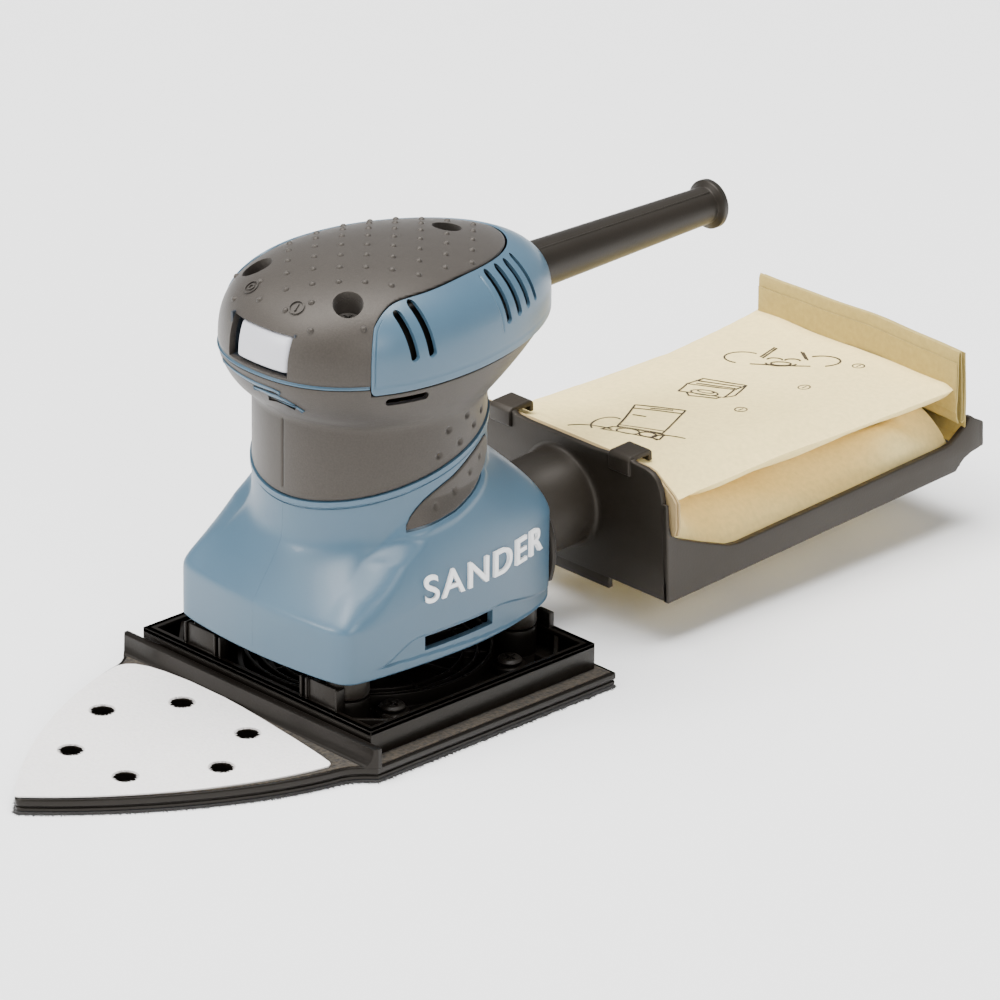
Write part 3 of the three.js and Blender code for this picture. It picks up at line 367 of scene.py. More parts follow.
def reach(a, cx, cy, radius):
    along = np.sin(a) * cx - np.cos(a) * cy
    return along + np.sqrt(along * along + radius * radius - cx * cx - cy * cy)


def skirt_radius(a):
    bulge = np.where(np.cos(a) > 0, 255.0, 115.0)
    centre = np.sign(np.sin(a)) * (40.7 - bulge)
    reaches = [reach(a, centre, 0, bulge), reach(a, 0, 143.1, 190), reach(a, 0, -99.5, 150)]
    return sum(r ** -24.0 for r in reaches) ** (-1 / 24) * 1.004


def fillet(value):
    """How far a rounded edge falls away, from 0 at nought to 1 at one."""
    return 1 - np.sqrt(1 - np.clip(value, 0, 1) ** 2)


def bend(value, width):
    """Zero below nought and the value above it, with a soft turn between."""
    return width * np.logaddexp(0, value / width)


def hump(value, width, power=2):
    """One where the value is nought, fading out on both sides."""
    return np.exp(-((value / width) ** power))


# driving sizes of the body, from which its surfaces follow
NECK_RADIUS = 35
SKIRT_FOOT = 22.5
PARTING = 112.5
HEAD_HALF, HEAD_FRONT, HEAD_REAR = 38.6, 46.4, 66.0
CROWN_RISE, CROWN_TILT = 28.2, 0.07
CORD_HEIGHT = 115
SOCKET_HEIGHT = 22.2

# a soft lip runs under the side patch and fades out ahead of it
LIP_TURNS = [50, 54.3, 60.8, 70, 77, 90, 103, 114, 122, 127.5]
LIP_HEIGHTS = [57.5, 59.5, 61.8, 62.4, 63.4, 64.9, 67.6, 69.9, 72.1, 76.6]


def body_radius(a, z):
    turn = np.degrees(folded(a))
    crease = 39 + 12 * smooth(42, 110, turn)
    flare_top = 71.3 + 0.8 * (1 - np.cos(a))
    up = np.clip((z - crease) / (flare_top - crease), 0, 1)
    shoulder = (1 - up) ** 1.15 * (1 + 0.85 * up)
    # in front a hollow shelf runs from the crease to the foot of the neck, and a ridge ends it
    foot = 56.2 + 1.6 * smooth(15, 45, turn)
    down = (foot - z) / (foot - 39.3)
    shelf = bend(down, 0.095) - bend(down - 1, 0.035)
    ridge = np.interp(z, [40, 47, 55, 60, 71], [51, 56, 64, 74, 86])
    side = smooth(ridge - 21, ridge, turn)
    fold = np.interp(turn, LIP_TURNS, LIP_HEIGHTS)
    lip = 0.5 * hump(z - fold, 1.0) * smooth(50, 64, turn) * smooth(128, 120, turn)
    profile = shelf + (shoulder - shelf) * side
    return NECK_RADIUS + (skirt_radius(a) - NECK_RADIUS) * profile + lip


def collar_z(a):
    return 70.2 + 11.4 * (1 - np.cos(a)) ** 0.92


def head_radius(a):
    front = np.cos(a) > 0
    power = np.where(front, 2.3, 1.86)
    length = np.where(front, HEAD_FRONT, HEAD_REAR)
    side = np.abs(np.sin(a) / HEAD_HALF) ** power
    end = np.abs(np.cos(a) / length) ** power
    return (side + end) ** (-1 / power)


def dome(a, rise, out=0.0):
    """A point of the head: rise 0 is the parting line and 1 the crown."""
    radius = head_radius(a) + out
    spread = np.cos(rise * math.pi / 2) ** (2 / 2.1)
    lift = np.sin(rise * math.pi / 2) ** (2 / 3)
    y = -np.cos(a) * radius * spread + 12 * (1 - spread)
    z = PARTING + lift * (CROWN_RISE + out - CROWN_TILT * y)
    return np.stack([np.sin(a) * radius * spread, y, z], -1)


def bowl_radius(a, z):
    """The neck and the bowl over it, with a soft turn where they meet."""
    spread = 0
    for shift, weight in ((-2.6, 1), (-1.7, 2), (-0.8, 3), (0, 3), (0.8, 3), (1.7, 2), (2.6, 1)):
        near = np.clip((PARTING - z) / 6, 0, 1)
        depth = np.clip((PARTING - z - shift * near) / 15.5, 0, 1)
        spread = spread + weight * (1 - depth ** 1.5) ** (1 / 1.5)
    return NECK_RADIUS + (head_radius(a) - NECK_RADIUS) * spread / 15


def cover_rise(a):
    turn = np.degrees(folded(a))
    corner = 1 - np.exp(-np.clip(turn - 47.5, 0, None) / 4.2)
    return 0.28 + 0.185 * corner + 0.062 * smooth(50, 118, turn) - 0.012 * smooth(125, 165, turn)


def polar(a, radius, z):
    return np.stack([np.sin(a) * radius, -np.cos(a) * radius, z], -1)


def spaced(*stops):
    """Values from stop to stop, each stop after the first given as (value, steps)."""
    out = [np.array([stops[0]])]
    for value, steps in stops[1:]:
        out.append(np.linspace(out[-1][-1], value, steps + 1)[1:])
    return np.concatenate(out)


# ---------------------------------------------------------------- blue housing halves
SEAM = 0.015
half_turn = np.radians(spaced(0.02, (39, 66), (60, 44), (130, 104), (179.98, 46)))


def housing_half():
    """The left half's outer surface, with its recessed panel, slot lip and collar rim."""
    rows = spaced(0, (0.02, 5), (0.22, 34), (0.35, 9), (0.47, 16), (0.93, 46), (0.96, 10),
                  (1, 12))
    a = half_turn[None, :]
    top = collar_z(a)
    up = rows[:, None]
    z = SKIRT_FOOT + up * (top - SKIRT_FOOT)
    radius = body_radius(a, z)
    flat = polar(a, radius, z)
    y = flat[..., 1]
    # the panel round the side slot is sunk; a lip runs along its lower edge
    ceiling = 32.2 - 6.2 * smooth(-17, -32.5, y) - 5.6 * smooth(14, 46, y)
    floor = 25.4 - 2.9 * smooth(-32, 46, y)
    inside = smooth(0, 0.7, ceiling - z) * smooth(0, 0.7, z - floor)
    inside = inside * smooth(-33.5, -32.3, y) * smooth(47, 45, y) * (np.sin(a) > 0.5)
    radius = radius - 0.8 * inside
    # a fine rim stands proud under the grip, over a groove
    below = top - z
    radius = radius + 0.55 * smooth(1.9, 1.55, below)
    radius = radius - 0.25 * smooth(0.35, 0.5, 0.6 - np.abs(below - 2.2))
    # the skirt's lower edge is rounded
    radius = radius - 0.7 * fillet(1 - (z - SKIRT_FOOT) / 0.7)
    grid = polar(a, radius, z)
    grid[..., 0] = np.maximum(grid[..., 0], SEAM)
    return grid


PATCH_TOP = [(64.4, 63.8), (65, 65), (67, 67.4), (70, 69.5), (74, 71.6), (79, 73.5), (85, 75.3),
             (92, 77), (98, 78.8), (104, 80.5), (111, 82), (119, 83.2), (124, 82.8), (127.5, 79.6)]
PATCH_FOOT = [(64.4, 63.6), (67, 63.9), (77, 65.2), (90, 66.8), (103, 69.5), (114, 71.9), (122, 74),
              (127.5, 78.6)]
PATCH_PITS = [(80, 69.4), (92, 72.2), (104, 75.8), (114, 78.4)]


def almond(depth, outer, margin):
    """The soft patch on the side of the neck's foot, or, with a margin, its recess."""
    s = np.linspace(0, 1, 110)[None, :]
    k = np.linspace(0, 1, 26)[:, None]
    at = 64.4 + 63.1 * s
    low = np.interp(at, *zip(*PATCH_FOOT)) - margin
    high = np.interp(at, *zip(*PATCH_TOP)) + margin
    a = np.radians(at + (s - 0.5) * 2.2 * margin)
    z = low + (high - low) * k
    edge = np.minimum(np.minimum(k, 1 - k) * 12, np.minimum(s, 1 - s) * 50)
    rounding = 0.35 * fillet(1 - edge)
    radius = body_radius(a, z) + outer - rounding * (margin == 0)
    for angle, height in PATCH_PITS:
        gap = np.hypot((a - math.radians(angle)) * 38, z - height)
        radius = radius - 0.6 * hump(gap, 0.95, 4) * (margin == 0)
    return shell(polar(a + 0 * z, radius, z), depth)


HOUSING_SLOT = box(34, 48, -14.3, 13.7, 26.6, 31.1)

for side, way in SIDES:
    piece(f"shell_{side}", way(shell(housing_half(), 2.2)), "blue_shell", "housing",
          [f"housing_{side}"], [way(HOUSING_SLOT), way(almond(1.6, 0.9, 0.35))])
    piece(f"side_patch_{side}", way(almond(1.6, 0.45, 0)), "soft_grip", "housing",
          [f"side_grip_{side}"])

# ---------------------------------------------------------------- soft grips on neck and head
def neck_half():
    """The left half of the dark grip: the neck with its dimples, then the bowl up to the rim."""
    a = half_turn[None, :]
    rows = spaced(0, (0.62, 70), (1, 40))[:, None]
    foot = collar_z(a) + 0.25
    ahead = np.degrees(folded(a)) < 47.2
    rim = np.where(ahead, 112.1, 109.7)
    z = foot + (rim - foot) * rows
    radius = bowl_radius(a, z)
    radius = radius - 0.6 * fillet(1 - (z - foot) / 0.6) - 0.6 * fillet(1 - (rim - z) / 0.6)
    for y0, z0 in NECK_DIMPLES:
        angle = math.atan2(math.sqrt(NECK_RADIUS ** 2 - y0 * y0), -y0)
        gap = np.hypot((a - angle) * NECK_RADIUS, z - z0)
        radius = radius - 0.75 * hump(gap, 0.95, 4)
    seam = hump(a * NECK_RADIUS, 0.3) * (z > 73) * (z < 94.5)
    grid = polar(a, radius - 0.45 * seam, z)
    grid[..., 0] = np.maximum(grid[..., 0], SEAM)
    return grid


NECK_DIMPLES = [(-.8, 92), (4, 86.8), (7.3, 94.2), (11.1, 89.8), (-4.4, 84.8), (16, 92.5),
                (19, 97)]


def capsule(half, radius, z0, z1):
    """A bar with round ends along X, from z0 to z1."""
    turn = circle(32)
    way = np.where(np.cos(turn) > 0, half - radius, radius - half)
    return prism(list(zip(way + radius * np.cos(turn), radius * np.sin(turn))), z0, z1)


rim_slot = moved(capsule(7.0, 1.2, -9, 7), (35.3, -18, 107),
                 spin(72, "Z") @ Matrix.Rotation(math.pi / 2, 4, "X"))
for side, way in SIDES:
    piece(f"neck_{side}", way(shell(neck_half(), 1.9)), "soft_grip", "housing",
          [f"neck_grip_{side}"], cuts=[way(rim_slot)])

# the housing's rim shows as a fine blue line in front, and as two ribs under the head
front = np.radians(np.linspace(-47, 47, 120))[None, :]
rim_rows = np.array([112.1, 112.2, 112.48, 112.58])[:, None]
rim_out = np.array([-0.1, 0.2, 0.2, -0.1])[:, None]
rim_line = shell(polar(front, head_radius(front) + rim_out, rim_rows + 0 * front), 1.5)


def leaf(turns, lows, highs, swell, depth):
    """A thin patch on the underside of the bowl, between two edges given by turn and height."""
    at = np.linspace(turns[0], turns[-1], 40)
    a = np.radians(at)[None, :]
    low, high = np.interp(at, turns, lows), np.interp(at, turns, highs)
    k = np.array([0, 0.12, 0.3, 0.5, 0.7, 0.88, 1])[:, None]
    z = low + (high - low) * k
    out = swell * np.sqrt(np.clip(1 - (2 * k - 1) ** 4, 0, 1)) + 0.05
    return shell(polar(a, bowl_radius(a, z) + out, z), depth)


ribs = [
    rim_line,
    leaf([-2, 4, 10, 14, 17, 20.4], [106.9, 106.3, 104.8, 103.9, 103.3, 102.7],
         [107.3, 107.5, 107.1, 106.2, 105.0, 103.0], 0.5, 1.2),
    leaf([-22, -12, 0, 5, 9, 12], [110.2, 109.0, 108.0, 108.1, 108.2, 108.5],
         [110.5, 110.0, 109.4, 109.4, 109.2, 108.7], 0.4, 1.2),
]
gaps = [
    leaf([-12, 0, 6, 11.2], [108.3, 107.3, 107.4, 107.2], [108.9, 107.95, 107.95, 107.5], 0.1, 0.5),
    leaf([5.6, 9, 13, 17.6], [105.7, 105.3, 104.9, 104.5], [105.9, 106.0, 105.6, 104.7],
         0.62, 1.4),
]
piece("rim_line", merged(*ribs), "blue_shell", "housing")
piece("rim_gaps", merged(*gaps), "black_plastic", "housing")

around = np.radians(spaced(-180, (-130, 40), (-60, 90), (-47.9, 22), (-47.1, 6), (-20, 40),
                           (20, 46), (47.1, 40), (47.9, 6), (60, 22), (130, 90), (180, 40))[:-1])
WELLS = [(19.5, -27, 130.6), (-19.5, -27, 130.6), (0, 31, 133.2)]


def palm_skin():
    a = around[None, :]
    start = np.where(folded(a) < math.radians(47.5), 0.0, cover_rise(a) + 0.004)
    rows = spaced(0, (0.04, 6), (0.9, 84), (0.996, 10))[:, None]
    rise = np.maximum(start, rows)
    out = -0.5 * fillet(1 - (rise - start) / 0.012)
    step = 1e-3
    across = dome(a + step, rise, out) - dome(a - step, rise, out)
    upwards = dome(a, rise + step, out) - dome(a, np.maximum(rise - step, 0), out)
    normal = np.cross(across, upwards)
    normal /= np.linalg.norm(normal, axis=2, keepdims=True)
    return shell(dome(a, rise, out), 2.2, True, normal)


palm = mesh_object("palm", palm_skin())
crown = dome(around[None, ::8], np.array([[0.9955]]))[0]
fan = prism([(p[0], p[1]) for p in crown], crown[:, 2].mean() - 2, crown[:, 2].mean() + 0.01)
face_out(palm, weld=True)
skin_tree = BVHTree.FromObject(palm, bpy.context.evaluated_depsgraph_get())


def on_head(x, y):
    """The palm grip's surface point and normal above a place in plan."""
    spot, normal, _, _ = skin_tree.ray_cast(Vector((x * MM, y * MM, 0.3)), Vector((0, 0, -1)))
    return (np.array(spot) / MM, normal) if spot else (None, None)


def facing(normal):
    return Vector(normal).to_track_quat("Z", "Y").to_matrix().to_4x4()


bumps = []
bump_shape = revolve([(1.15, -0.15), (0.85, 0.36), (0.5, 0.66), (1e-4, 0.78)], 14, closed=False)
for j in range(-1, 16):
    for i in range(-5, 6):
        x, y = 5.5 * i, -33.6 + 5.4 * j
        if (i + j) % 2:
            continue
        near_well = any(math.hypot(x - wx, y - wy) < 7.4 for wx, wy, _ in WELLS)
        spot, normal = on_head(x, y)
        if spot is None or near_well or spot[2] < 127.5:
            continue
        a = np.arctan2(x, -y)
        limit = np.hypot(*dome(a, cover_rise(a))[:2])
        if abs(np.degrees(a)) > 47.5 and math.hypot(x, y) > limit - 3.2:
            continue
        bumps.append(moved(bump_shape, spot, facing(normal)))

marks = []
for x, y, barred in ((8.4, -37.0, True), (-12.2, -36.0, False)):
    spot, normal = on_head(x, y)
    turn = facing(normal)
    marks.append(moved(tube(2.1, 2.5, 0, 0.45, 28), spot, turn))
    if barred:
        marks.append(moved(box(-0.25, 0.25, -1.3, 1.3, 0, 0.45), spot, turn))
    else:
        marks.append(moved(tube(0.8, 1.2, 0, 0.45, 20), spot, turn))

def well_wall(x, y, top):
    """The wall of a screw well, level with the grip all round."""
    turn = circle(48)
    rim = np.array([on_head(x + 4.9 * math.sin(t), y + 4.9 * math.cos(t))[0][2] for t in turn])
    rings = [np.column_stack([x + r * np.sin(turn), y + r * np.cos(turn), h])
             for r, h in ((4.5, rim * 0 + top - 4.5), (4.5, rim - 0.5), (5.3, rim - 0.5),
                          (5.3, rim * 0 + top - 4.5))]
    faces = grid_faces(4, 48, wrap=True)
    faces += [[144 + i, 144 + (i + 1) % 48, (i + 1) % 48, i] for i in range(48)]
    return np.concatenate(rings), faces


well_walls = []
for x, y, top in WELLS:
    well_walls += [well_wall(x, y, top), moved(rod(5.6, top - 4.5, top - 2.6, 40), (x, y, 0))]
palm = piece("palm", palm, "soft_grip", "housing", ["palm_grip"],
             cuts=[moved(rod(4.5, top - 20, 160, 40), (x, y, 0)) for x, y, top in WELLS]
             + [box(-12.2, 12.7, -60, -36, 113.9, 126.4)])
piece("palm_details", merged(*bumps, *marks, fan, *well_walls), "soft_grip", "housing")


def cross(x, y, long, short, low, high):
    """The two cuts of a cross recess."""
    return [box(x - u, x + u, y - v, y + v, low, high) for u, v in ((long, short), (short, long))]


# screws: dark pan heads with a cross recess
for (x, y, top), name in zip(WELLS, ("front_left", "front_right", "rear")):
    head = moved(merged(rod(3.6, top - 2.2, top - 0.1, 40, 0.5), rod(1.5, 112, top - 2.0, 16)),
                 (x, y, 0))
    piece(f"head_screw_{name}", head, "steel", "housing", [f"cover_screw_{name}"],
          cross(x, y, 2.1, 0.42, top - 1.3, top + 1), SCREW)


# ---------------------------------------------------------------- blue cover with its vents
def cover_half():
    """The left half, from the rim band up to the palm grip, with its grooves."""
    a = np.radians(spaced(47.6, (50, 24), (60, 50), (130, 190), (180, 90)))[None, :]
    drop = spaced(0, (1, 9))
    climb = spaced(0, (0.12, 12), (1, 62))[1:]
    foot = dome(a, 0.0 * a, 0.4)
    band = np.repeat(foot, len(drop), 0)
    corner = 1.9 * fillet(1 - (np.degrees(a) - 47.6) / 2.8)
    band[..., 2] = 109.9 + corner + (2.6 - corner) * drop[:, None]
    wall = dome(a, climb[:, None] * (cover_rise(a) - 0.004), 0.4)
    grid = np.concatenate([band, wall])
    turn = np.degrees(a)
    out = np.zeros(grid.shape[:2])
    y, z = grid[..., 1], grid[..., 2]
    out -= 0.45 * hump(z - 112.75, 0.2)
    top = np.concatenate([drop * 0, climb])[:, None]
    groove = 49.1 + 4.8 * smooth(0.72, 1.0, top) ** 1.5
    out -= 0.28 * hump(turn - groove, 0.22) * (z > 113.2) * (top < 0.86)
    panel = 18.3 + 1.6 * smooth(133, 119, z)
    out -= 0.3 * hump(y - panel, 0.28) * smooth(117.5, 118.5, z) * (z < 133.5)
    lip = np.minimum(top + 0 * y, 1)
    out -= 0.5 * fillet((lip - 0.985) / 0.015)
    out -= 0.6 * fillet(1 - (z - 109.9) / 0.7)
    out -= 0.5 * fillet(1 - (turn - 47.6) / 0.7)
    grid = grid + normals_of(grid, False) * out[..., None]
    grid[..., 0] = np.maximum(grid[..., 0], 0.03)
    return grid


VENTS = [(-16.6, 118.8, 133, 1.4), (-10.6, 118.9, 134.5, 1.45), (22.9, 119.3, 133.9, 1.3),
         (28.8, 119.6, 133.5, 1.3), (34.3, 120, 133, 1.2), (39.3, 120.3, 132.6, 0.9)]


def vent(y, low, high, half):
    """A slot with round ends that leans forwards as it climbs."""
    points = []
    for k in range(24):
        t = 2 * math.pi * k / 24
        end = high - half if math.sin(t) > 0 else low + half
        lean = 0.9 * (1 if math.sin(t) > 0 else -0.2)
        points.append((-(end + half * math.sin(t)), y + half * math.cos(t) - lean))
    return moved(prism(points, 15, 60), turn=spin(90, "Y"))


cord_hole = along_y(rod(8.3, 52, 80, 48), CORD_HEIGHT)
for side, way in SIDES:
    piece(f"cover_{side}", way(shell(cover_half(), 1.3)), "blue_shell", "housing",
          ["handle_cover"] if side == "left" else [], [way(vent(*v)) for v in VENTS] + [cord_hole])

# a dark sheet behind the vents paints the shade inside them, so that they read as deep slots
shade_sheet_turns = np.radians(np.linspace(50, 310, 130))[None, :]
shade_sheet_surface = dome(shade_sheet_turns, np.linspace(0.0, 0.5, 14)[:, None], -2.6)
piece("vent_painted_shade", shell(shade_sheet_surface, 1.0), "black_plastic", "housing")

# ---------------------------------------------------------------- switch
def front_y(x, z):
    """How far forward the head's front lies."""
    y = -46.0
    for _ in range(5):
        lift = (z - PARTING) / (CROWN_RISE - CROWN_TILT * y)
        spread = (1 - lift ** 3) ** (1 / 2.1)
        aside = np.abs(x) / (HEAD_HALF * spread)
        y = 12 * (1 - spread) - HEAD_FRONT * spread * (1 - aside ** 2.3) ** (1 / 2.3)
    return y


LENS_X, LENS_Z = (-8.6, 12.3), (114.9, 126.2)


def lens_face():
    """The switch button's face, which follows the head and rounds over at its edges."""
    x = spaced(LENS_X[0], (LENS_X[0] + 1.6, 9), (LENS_X[1] - 1.6, 30), (LENS_X[1], 9))[None, :]
    z = spaced(LENS_Z[0], (LENS_Z[0] + 1.6, 9), (LENS_Z[1] - 1.6, 20), (LENS_Z[1], 9))[:, None]
    away_x = np.clip(1 - np.minimum(x - LENS_X[0], LENS_X[1] - x) / 1.6, 0, 1)
    away_z = np.clip(1 - np.minimum(z - LENS_Z[0], LENS_Z[1] - z) / 1.3, 0, 1)
    y = front_y(x, z) + 0.35 + 1.5 * fillet(np.hypot(away_x, away_z))
    return np.stack([x + 0 * z, y, z + 0 * x], -1)


face = lens_face()
back_side = face.copy()
back_side[..., 1] = -40.0
lens_rows, lens_cols = face.shape[:2]
lens = shell(face, 0)
lens[0][lens_rows * lens_cols:] = back_side.reshape(-1, 3)
piece("lens", lens, "switch_lens", "switch", ["switch_slider"])
window = merged(box(-13, 13, -39.4, -38.4, 113, 127.4), box(-13.1, -12.3, -43.4, -38.4, 113.6, 127),
                box(12.8, 13.4, -42.2, -38.4, 113.6, 127), box(-13, 13, -41, -38.4, 126.5, 127.3),
                box(-13, 13, -43.6, -38.4, 113.1, 114.0))
piece("switch_window", window, "black_plastic", "housing", finish=SLATE)

# ---------------------------------------------------------------- cord guard
guard_profile = [(3.5, 50), (8.7, 50.4), (8.7, 53.6), (7.62, 54), (7.58, 60), (7.5, 66), (6.9, 92),
                 (6.3, 118), (5.85, 138.6), (5.85, 140.1), (6.2, 140.5), (7.4, 140.7),
                 (7.75, 141.1), (7.75, 142.8), (7.4, 143.3), (6.8, 143.5), (3.6, 143.5),
                 (3.5, 143.2)]
guard = along_y(revolve(guard_profile, 96), CORD_HEIGHT)
ridge = prism([(-0.22, 54), (0.22, 54), (0.22, 139.5), (-0.22, 139.5)], -0.6, 0.2)
ridge[0][:, 2] += np.interp(ridge[0][:, 1], [54, 66, 92, 118, 139.5], [7.6, 7.5, 6.9, 6.3, 5.9])
ridge = moved(ridge, (0, 0, CORD_HEIGHT), spin(27, "Y"))
piece("guard", merged(guard, ridge), "black_rubber", "housing", ["cord_guard"], sharp=40)

# ---------------------------------------------------------------- dust outlet
ring_profile = [(13.2, 52.9), (23.4, 52.9), (24.0, 53.4), (24.0, 54.8), (23.2, 55.8), (20.6, 56.6),
                (19.6, 57.6), (16.6, 58.4), (13.2, 58.4)]
piece("outlet_collar", along_y(revolve(ring_profile, 128), 31), "black_rubber", "housing",
      ["outlet_ring"], [box(-60, 60, 40, 70, -40, 22.5)], sharp=25)

# ---------------------------------------------------------------- platen
RIM_X, RIM_Y, RIM_TOP, FLOOR = 50.2, 46.0, 13.75, 7.0


def bevelled(name, shape, width, segments, angle=30):
    made = mesh_object(name, shape)
    face_out(made)
    modifier = made.modifiers.new("soft", "BEVEL")
    modifier.width = width * MM
    modifier.segments = segments
    modifier.limit_method = "ANGLE"
    modifier.angle_limit = math.radians(angle)
    made.data = solved(made)
    made.modifiers.clear()
    return made


def rect_ring(x_out, y_out, wall, low, high):
    """Four walls round a rectangle, mitred into one closed ring."""
    corners = [(-1, -1), (1, -1), (1, 1), (-1, 1)]
    verts = [(sx * (x_out - d), sy * (y_out - d), z) for z in (low, high) for d in (0, wall)
             for sx, sy in corners]
    faces = []
    for i in range(4):
        k = (i + 1) % 4
        faces += [[i, k, 8 + k, 8 + i], [4 + k, 4 + i, 12 + i, 12 + k],
                  [8 + i, 8 + k, 12 + k, 12 + i], [k, i, 4 + i, 4 + k]]
    return np.array(verts, float), faces


plate_shapes = [
    rect_ring(RIM_X, RIM_Y, 2.0, 5.3, RIM_TOP),
    rect_ring(RIM_X, RIM_Y, 3.1, 12.2, RIM_TOP),
    box(-RIM_X + 1, RIM_X - 1, -RIM_Y + 1, RIM_Y - 1, 5.5, FLOOR),
    tube(13.2, 15.5, 6, 19.8, 64),
    tube(36.6, 37.8, 6, 11.4, 96),
    tube(32.4, 33.4, 6, 10.2, 96),
    tube(28.0, 28.8, 6, 9.4, 96),
]
for k in range(12):
    spoke = box(15, 36.8, -0.6, 0.6, 6, 9.4)
    plate_shapes.append(moved(spoke, turn=spin(30 * k + 15, "Z")))
for sx in (-1, 1):
    for sy in (-1, 1):
        diagonal = moved(box(-9.5, 9.5, -0.7, 0.7, 6, 12.6), (sx * 42.0, sy * 37.6, 0),
                         spin(-45 * sx * sy, "Z"))
        plate_shapes.append(diagonal)
        plate_shapes.append(moved(box(-4.6, 4.6, -0.6, 0.6, 6, 11.5), (sx * 44.4, sy * 31.2, 0)))
        screw_x, screw_y = sx * 36, sy * 24
        plate_shapes.append(moved(rod(5.2, 6, 9.4, 40, 0.4), (screw_x, screw_y, 0)))
        leg_x, leg_y = (sx * 29, -35.5) if sy < 0 else (sx * 26.5, 35.5)
        plate_shapes.append(moved(tube(4.7, 6.5, 6, 15.5, 40), (leg_x, leg_y, 0)))
    # the front holders of the rubber legs, with ribs down their faces
    plate_shapes.append(box(*sorted((sx * 20.4, sx * 32.6)), -43.6, -42.4, 6, 20.4))
    for rib in (17.9, 20.2, 33.2):
        plate_shapes.append(box(sx * rib - 0.45, sx * rib + 0.45, -44.3, -41, 6, 20.6))
    plate_shapes.append(box(*sorted((sx * 27.5, sx * 33.2)), 43.4, 45.4, 6, 18.6))
piece("bottom_plate", bevelled("bottom_plate", merged(*plate_shapes), 0.3, 2), "black_plastic",
      "pad", ["platen"])

for number, (x, y) in enumerate(((36, 24), (36, -24), (-36, 24), (-36, -24)), 1):
    screw = moved(merged(rod(3.9, 9.5, 11.3, 40, 0.7), rod(2, 5.4, 9.6, 16)), (x, y, 0))
    piece("pad_bolt", screw, "steel", "pad", [f"pad_screw_{number}"],
          cross(x, y, 2.3, 0.45, 10.3, 12), BOLT)

for place, x, y in (("front_left", 29, -35.5), ("front_right", -29, -35.5),
                    ("rear_left", 26.5, 35.5), ("rear_right", -26.5, 35.5)):
    leg = revolve([(1e-4, 8.8), (4.6, 8.8), (4.6, 15.6), (6.3, 16.2), (6.5, 17), (6.5, 20.6),
                   (6.2, 21.8), (4.6, 22.4), (4.6, 34), (4.1, 34.5), (1e-4, 34.5)], 40,
                  closed=False)
    piece(f"foot_{place}", moved(leg, (x, y, 0)), "black_rubber", "pad", [f"rubber_leg_{place}"])


# ---------------------------------------------------------------- sanding pad, hook pile and sheet
def bezier(p0, p1, p2, p3, steps):
    t = np.linspace(0, 1, steps + 1)[1:, None]
    p0, p1, p2, p3 = (np.array(p, float) for p in (p0, p1, p2, p3))
    return ((1 - t) ** 3 * p0 + 3 * (1 - t) ** 2 * t * p1 + 3 * (1 - t) * t * t * p2
            + t ** 3 * p3).tolist()


def pad_outline():
    """The left edge from the rear corner to the tip, then its mirror image back."""
    left = [[56, 0], [56, 20], [56, 40], [56, 49.2], [55.7, 49.5]]
    left = left[::-1] + [[56, -20], [56, -40], [56, -48.3]]
    left += bezier(left[-1], (53.5, -51), (50.6, -53.5), (49.6, -57.5), 12)
    left += bezier(left[-1], (44.5, -84), (24, -117), (1.5, -139.0), 40)
    left += bezier(left[-1], (1, -139.4), (0.5, -139.6), (0, -139.6), 5)
    right = [[-x, y] for x, y in left[:-1]][::-1]
    return (left + right)[::-1]


def inset(points, distance):
    """A closed anticlockwise outline moved inwards."""
    p = np.array(points, float)
    ahead = np.roll(p, -1, 0) - p
    ahead /= np.linalg.norm(ahead, axis=1, keepdims=True)
    behind = np.roll(ahead, 1, 0)
    way = ahead + behind
    way /= np.linalg.norm(way, axis=1, keepdims=True)
    turned = np.stack([-way[:, 1], way[:, 0]], 1)
    stretch = 1 / np.clip((way * ahead).sum(1), 0.6, 1)
    return p + turned * (distance * stretch)[:, None]


def layered(outline, steps):
    """A solid from an outline moved inwards by each step's distance at each step's height."""
    rings = [np.column_stack([inset(outline, d), np.full(len(outline), z)]) for d, z in steps]
    size = len(rings), len(outline)
    return np.concatenate(rings), grid_faces(*size, wrap=True) + capped(*size)


outline = pad_outline()


def flange_grid():
    """The upstand behind the sheet: thin at the top, with a fillet that is wider at its ends."""
    across = np.linspace(-56, 56, 90)[None, :]
    foot = np.interp(across, [-56, -40, -24, -6, 11, 36, 56],
                     [-51.6, -50.6, -49.7, -49.8, -50.6, -51.4, -51.6])
    turn = np.linspace(0.05, 1, 14)[:, None] * math.pi / 2
    reach_in = -49.3 - foot
    y = foot + reach_in * np.sin(turn)
    z = 5.15 + 5.2 * (1 - np.cos(turn))
    rows = [(-48.5, 10.9), (-47.0, 10.9), (-46.8, 4.4), (foot, 4.4), (y, z), (-49.3, 10.6)]
    return np.concatenate([np.stack(np.broadcast_arrays(across, *row), -1) for row in rows])


lofted = flange_grid()
flange_rows, flange_cols = lofted.shape[:2]
flange_faces = grid_faces(flange_rows, flange_cols)
last_row = (flange_rows - 1) * flange_cols
flange_faces += [[last_row + i, last_row + i + 1, i + 1, i] for i in range(flange_cols - 1)]
flange_faces.append([j * flange_cols for j in range(flange_rows)])
flange_faces.append([j * flange_cols + flange_cols - 1 for j in range(flange_rows)][::-1])
flange_mesh = mesh_object("flange", (lofted.reshape(-1, 3), flange_faces))
face_out(flange_mesh)
carve(flange_mesh, layered(outline, [(0, 0), (0, 20)]), "INTERSECT")
flange = taken(flange_mesh)
SHEET_X, SHEET_Y = -0.8, -0.75
HOLES = [(sx * x + SHEET_X, y + SHEET_Y)
         for x, y in ((14.5, -60.8), (26.4, -81.8), (12.1, -106.6)) for sx in (-1, 1)]
pits = [moved(rod(4.1, 2.2, 8, 40), (x, y, 0)) for x, y in HOLES]
